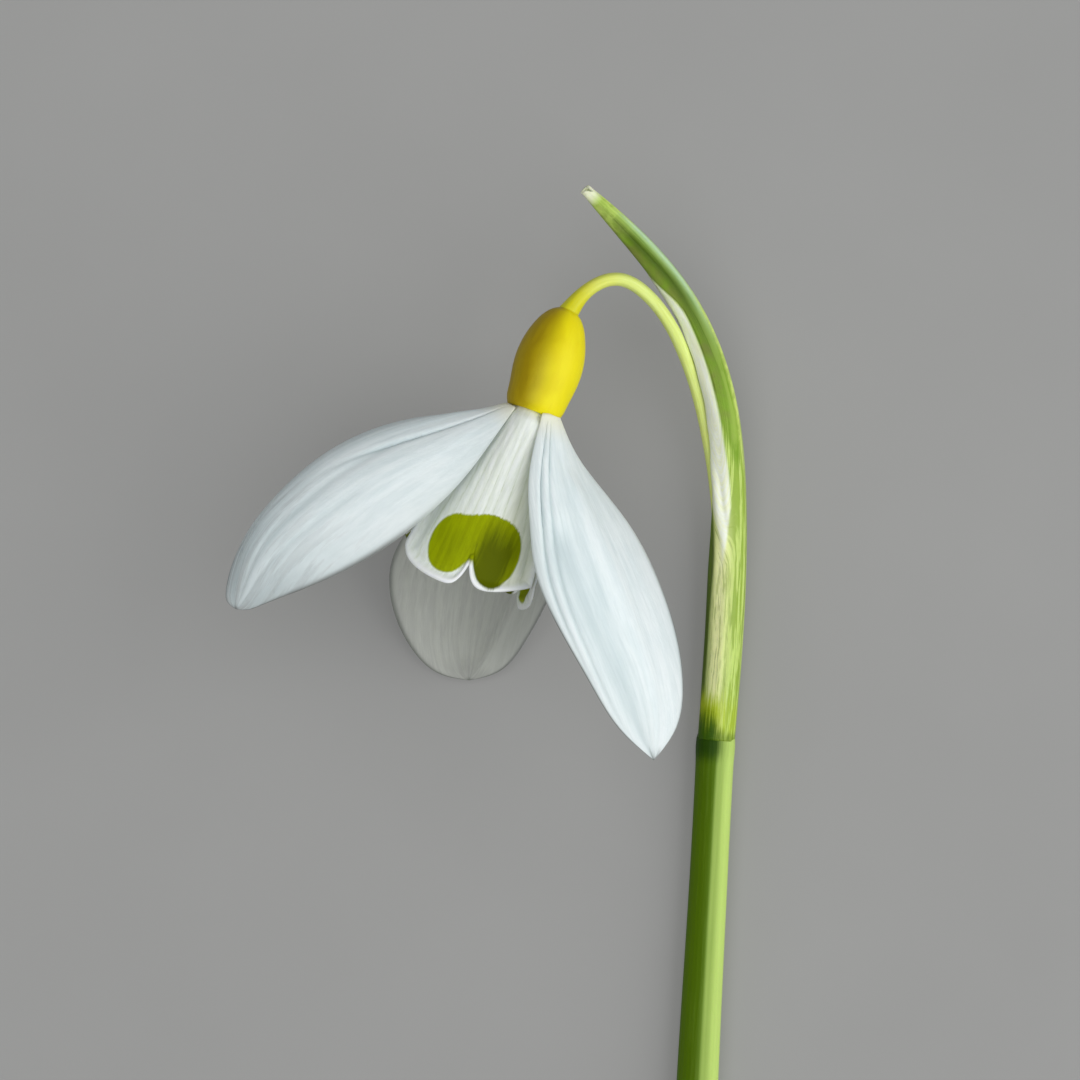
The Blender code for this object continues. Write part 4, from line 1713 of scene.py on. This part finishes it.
@dataclass
class Heart:
    """What stands inside the bell.

    Attributes:
        stamens: the ring of six.
        style: the thread in their middle.
    """

    stamens: Stamens = field(default_factory=Stamens)
    style: Style = field(default_factory=Style)

    def build(self, effects: Effects) -> None:
        """Make the stamens and the style, each with its own finish.

        Args:
            effects: the shared node groups.
        """
        pollen = FleshFinish("anther", Body(0.65, 0.3, 0.2, (0.6, 0.4, 0.1)),
                             near=(0.72, 0.78, 0.52), far=(0.80, 0.40, 0.03),
                             fleck=(0.55, 0.24, 0.01), squeeze=(8.0, 8.0, 1.5))
        self.stamens.build(pollen.material(effects))
        thread = FleshFinish("style", Body(0.45, 0.4, 0.4), near=(0.80, 0.84, 0.72),
                             far=(0.42, 0.56, 0.14), fleck=(0.66, 0.72, 0.50),
                             squeeze=(9.0, 9.0, 0.8))
        self.style.build(thread.material(effects))


@dataclass(frozen=True)
class Lamp:
    """A square lamp that faces the flower.

    Attributes:
        name: its name.
        place: where it stands from the flower, in metres.
        size: its side in metres.
        power: its power in watts.
    """

    name: str
    place: Point
    size: float
    power: float

    def add(self, target: Array) -> None:
        """Put the lamp into the scene.

        Args:
            target: the point that it faces, in metres.
        """
        data = bpy.data.lights.new(self.name, "AREA")
        data.size = self.size
        data.energy = self.power
        lamp = bpy.data.objects.new(self.name, data)
        lamp.location = target + np.array(self.place)
        away = unit(np.array(self.place))
        lamp.rotation_euler = (math.acos(away[2]), 0.0, math.atan2(away[1], away[0]) + math.pi / 2)
        bpy.context.scene.collection.objects.link(lamp)


@dataclass
class Studio:
    """The floor, the lights and the camera, which looks straight down.

    Attributes:
        floor_size: side of the floor in metres.
        floor_dark: colour of the floor's darker patches.
        floor_light: colour of its lighter patches.
        glow_colour: colour of the light that the floor gives of its own.
        floor_glow: strength of that light, which keeps the shadows faint.
        camera_height: height of the camera above the floor in metres.
        frame_width: what the camera's picture spans in metres at the flower.
        flower_height: height at which that width is measured, in metres.
        off_centre: where the camera stands from the middle of the object, in metres.
        sensor: width of the camera's sensor in millimetres.
        lamp_target: height of the point that the lamps face, in metres.
        lamps: a large soft lamp from the right and a weaker one overhead.
        sky: colour of the sky.
        sky_strength: its strength.
    """

    floor_size: float = 3.0
    floor_dark: Colour = (0.205, 0.205, 0.20)
    floor_light: Colour = (0.23, 0.23, 0.225)
    glow_colour: Colour = (1.0, 1.0, 0.98)
    floor_glow: float = 0.11
    camera_height: float = 0.600
    frame_width: float = 0.07714
    flower_height: float = 0.008
    off_centre: tuple[float, float] = (0.00363, 0.02557)
    sensor: float = 36.0
    lamp_target: float = 0.01
    lamps: tuple[Lamp, ...] = (Lamp("key", (0.42, -0.06, 0.34), 0.70, 3.0),
                               Lamp("fill", (-0.12, 0.02, 0.62), 0.50, 1.75))
    sky: Colour = (0.92, 0.95, 1.0)
    sky_strength: float = 0.20

    def build(self) -> None:
        """Set up the floor, the camera, the lights and the sky."""
        low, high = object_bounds()
        middle = ((low[0] + high[0]) / 2, (low[1] + high[1]) / 2)
        self._floor(middle, low[2])
        self._camera(middle)
        self._lights(middle)

    def _floor(self, middle: tuple[float, float], height: float) -> None:
        """Lay a plain pale floor under the object, with a faint glow of its own.

        Args:
            middle: the middle of the object, in metres.
            height: where its lowest point is.
        """
        half = self.floor_size / 2
        corners = np.array([[-half, -half], [half, -half], [half, half], [-half, half]]) + middle
        mesh = bpy.data.meshes.new("floor")
        mesh.from_pydata([(x, y, height) for x, y in corners.tolist()], [], [(0, 1, 2, 3)])
        floor = bpy.data.objects.new("floor", mesh)
        bpy.context.scene.collection.objects.link(floor)
        material, graph, surface = Body(0.85, 0.2).shader("pale floor")
        noise = graph.node("ShaderNodeTexNoise", {"Vector": graph.place(), "Scale": 60.0,
                                                  "Detail": 3.0}).outputs[0]
        graph.feed(surface.inputs["Base Color"],
                   graph.blend(self.floor_dark, self.floor_light, noise))
        graph.feed(surface.inputs["Emission Color"], self.glow_colour)
        graph.feed(surface.inputs["Emission Strength"], self.floor_glow)
        mesh.materials.append(material)
        floor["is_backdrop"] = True

    def _camera(self, middle: tuple[float, float]) -> None:
        """Hang a camera with a long lens straight above the flower.

        Args:
            middle: the middle of the object, in metres.
        """
        data = bpy.data.cameras.new("camera")
        data.sensor_width = self.sensor
        data.lens = self.sensor * (self.camera_height - self.flower_height) / self.frame_width
        camera = bpy.data.objects.new("camera", data)
        camera.location = (middle[0] + self.off_centre[0], middle[1] + self.off_centre[1],
                           self.camera_height)
        bpy.context.scene.collection.objects.link(camera)
        bpy.context.scene.camera = camera

    def _lights(self, middle: tuple[float, float]) -> None:
        """Set up the lamps and a pale sky.

        Args:
            middle: the middle of the object, in metres.
        """
        target = np.array([middle[0], middle[1] + self.off_centre[1], self.lamp_target])
        for lamp in self.lamps:
            lamp.add(target)
        world = bpy.data.worlds.new("sky")
        world.use_nodes = True
        sky = world.node_tree.nodes["Background"]
        sky.inputs["Color"].default_value = (*self.sky, 1.0)
        sky.inputs["Strength"].default_value = self.sky_strength
        bpy.context.scene.world = world
        bpy.context.scene.view_settings.view_transform = "Standard"


def corners() -> list[list[float]]:
    """The object's box at this moment, as plain lists."""
    return [[float(x) for x in corner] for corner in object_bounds()]


def main() -> None:
    """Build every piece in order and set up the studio."""
    logging.basicConfig(level=logging.INFO, format="%(name)s: %(message)s")
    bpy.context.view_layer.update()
    LOG.info("frame with %d nodes", len(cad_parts))
    Studio().build()
    effects = Effects()
    Stalks().build(effects)
    Corolla().build(effects)
    Heart().build(effects)


if __name__ == "__main__":
    main()
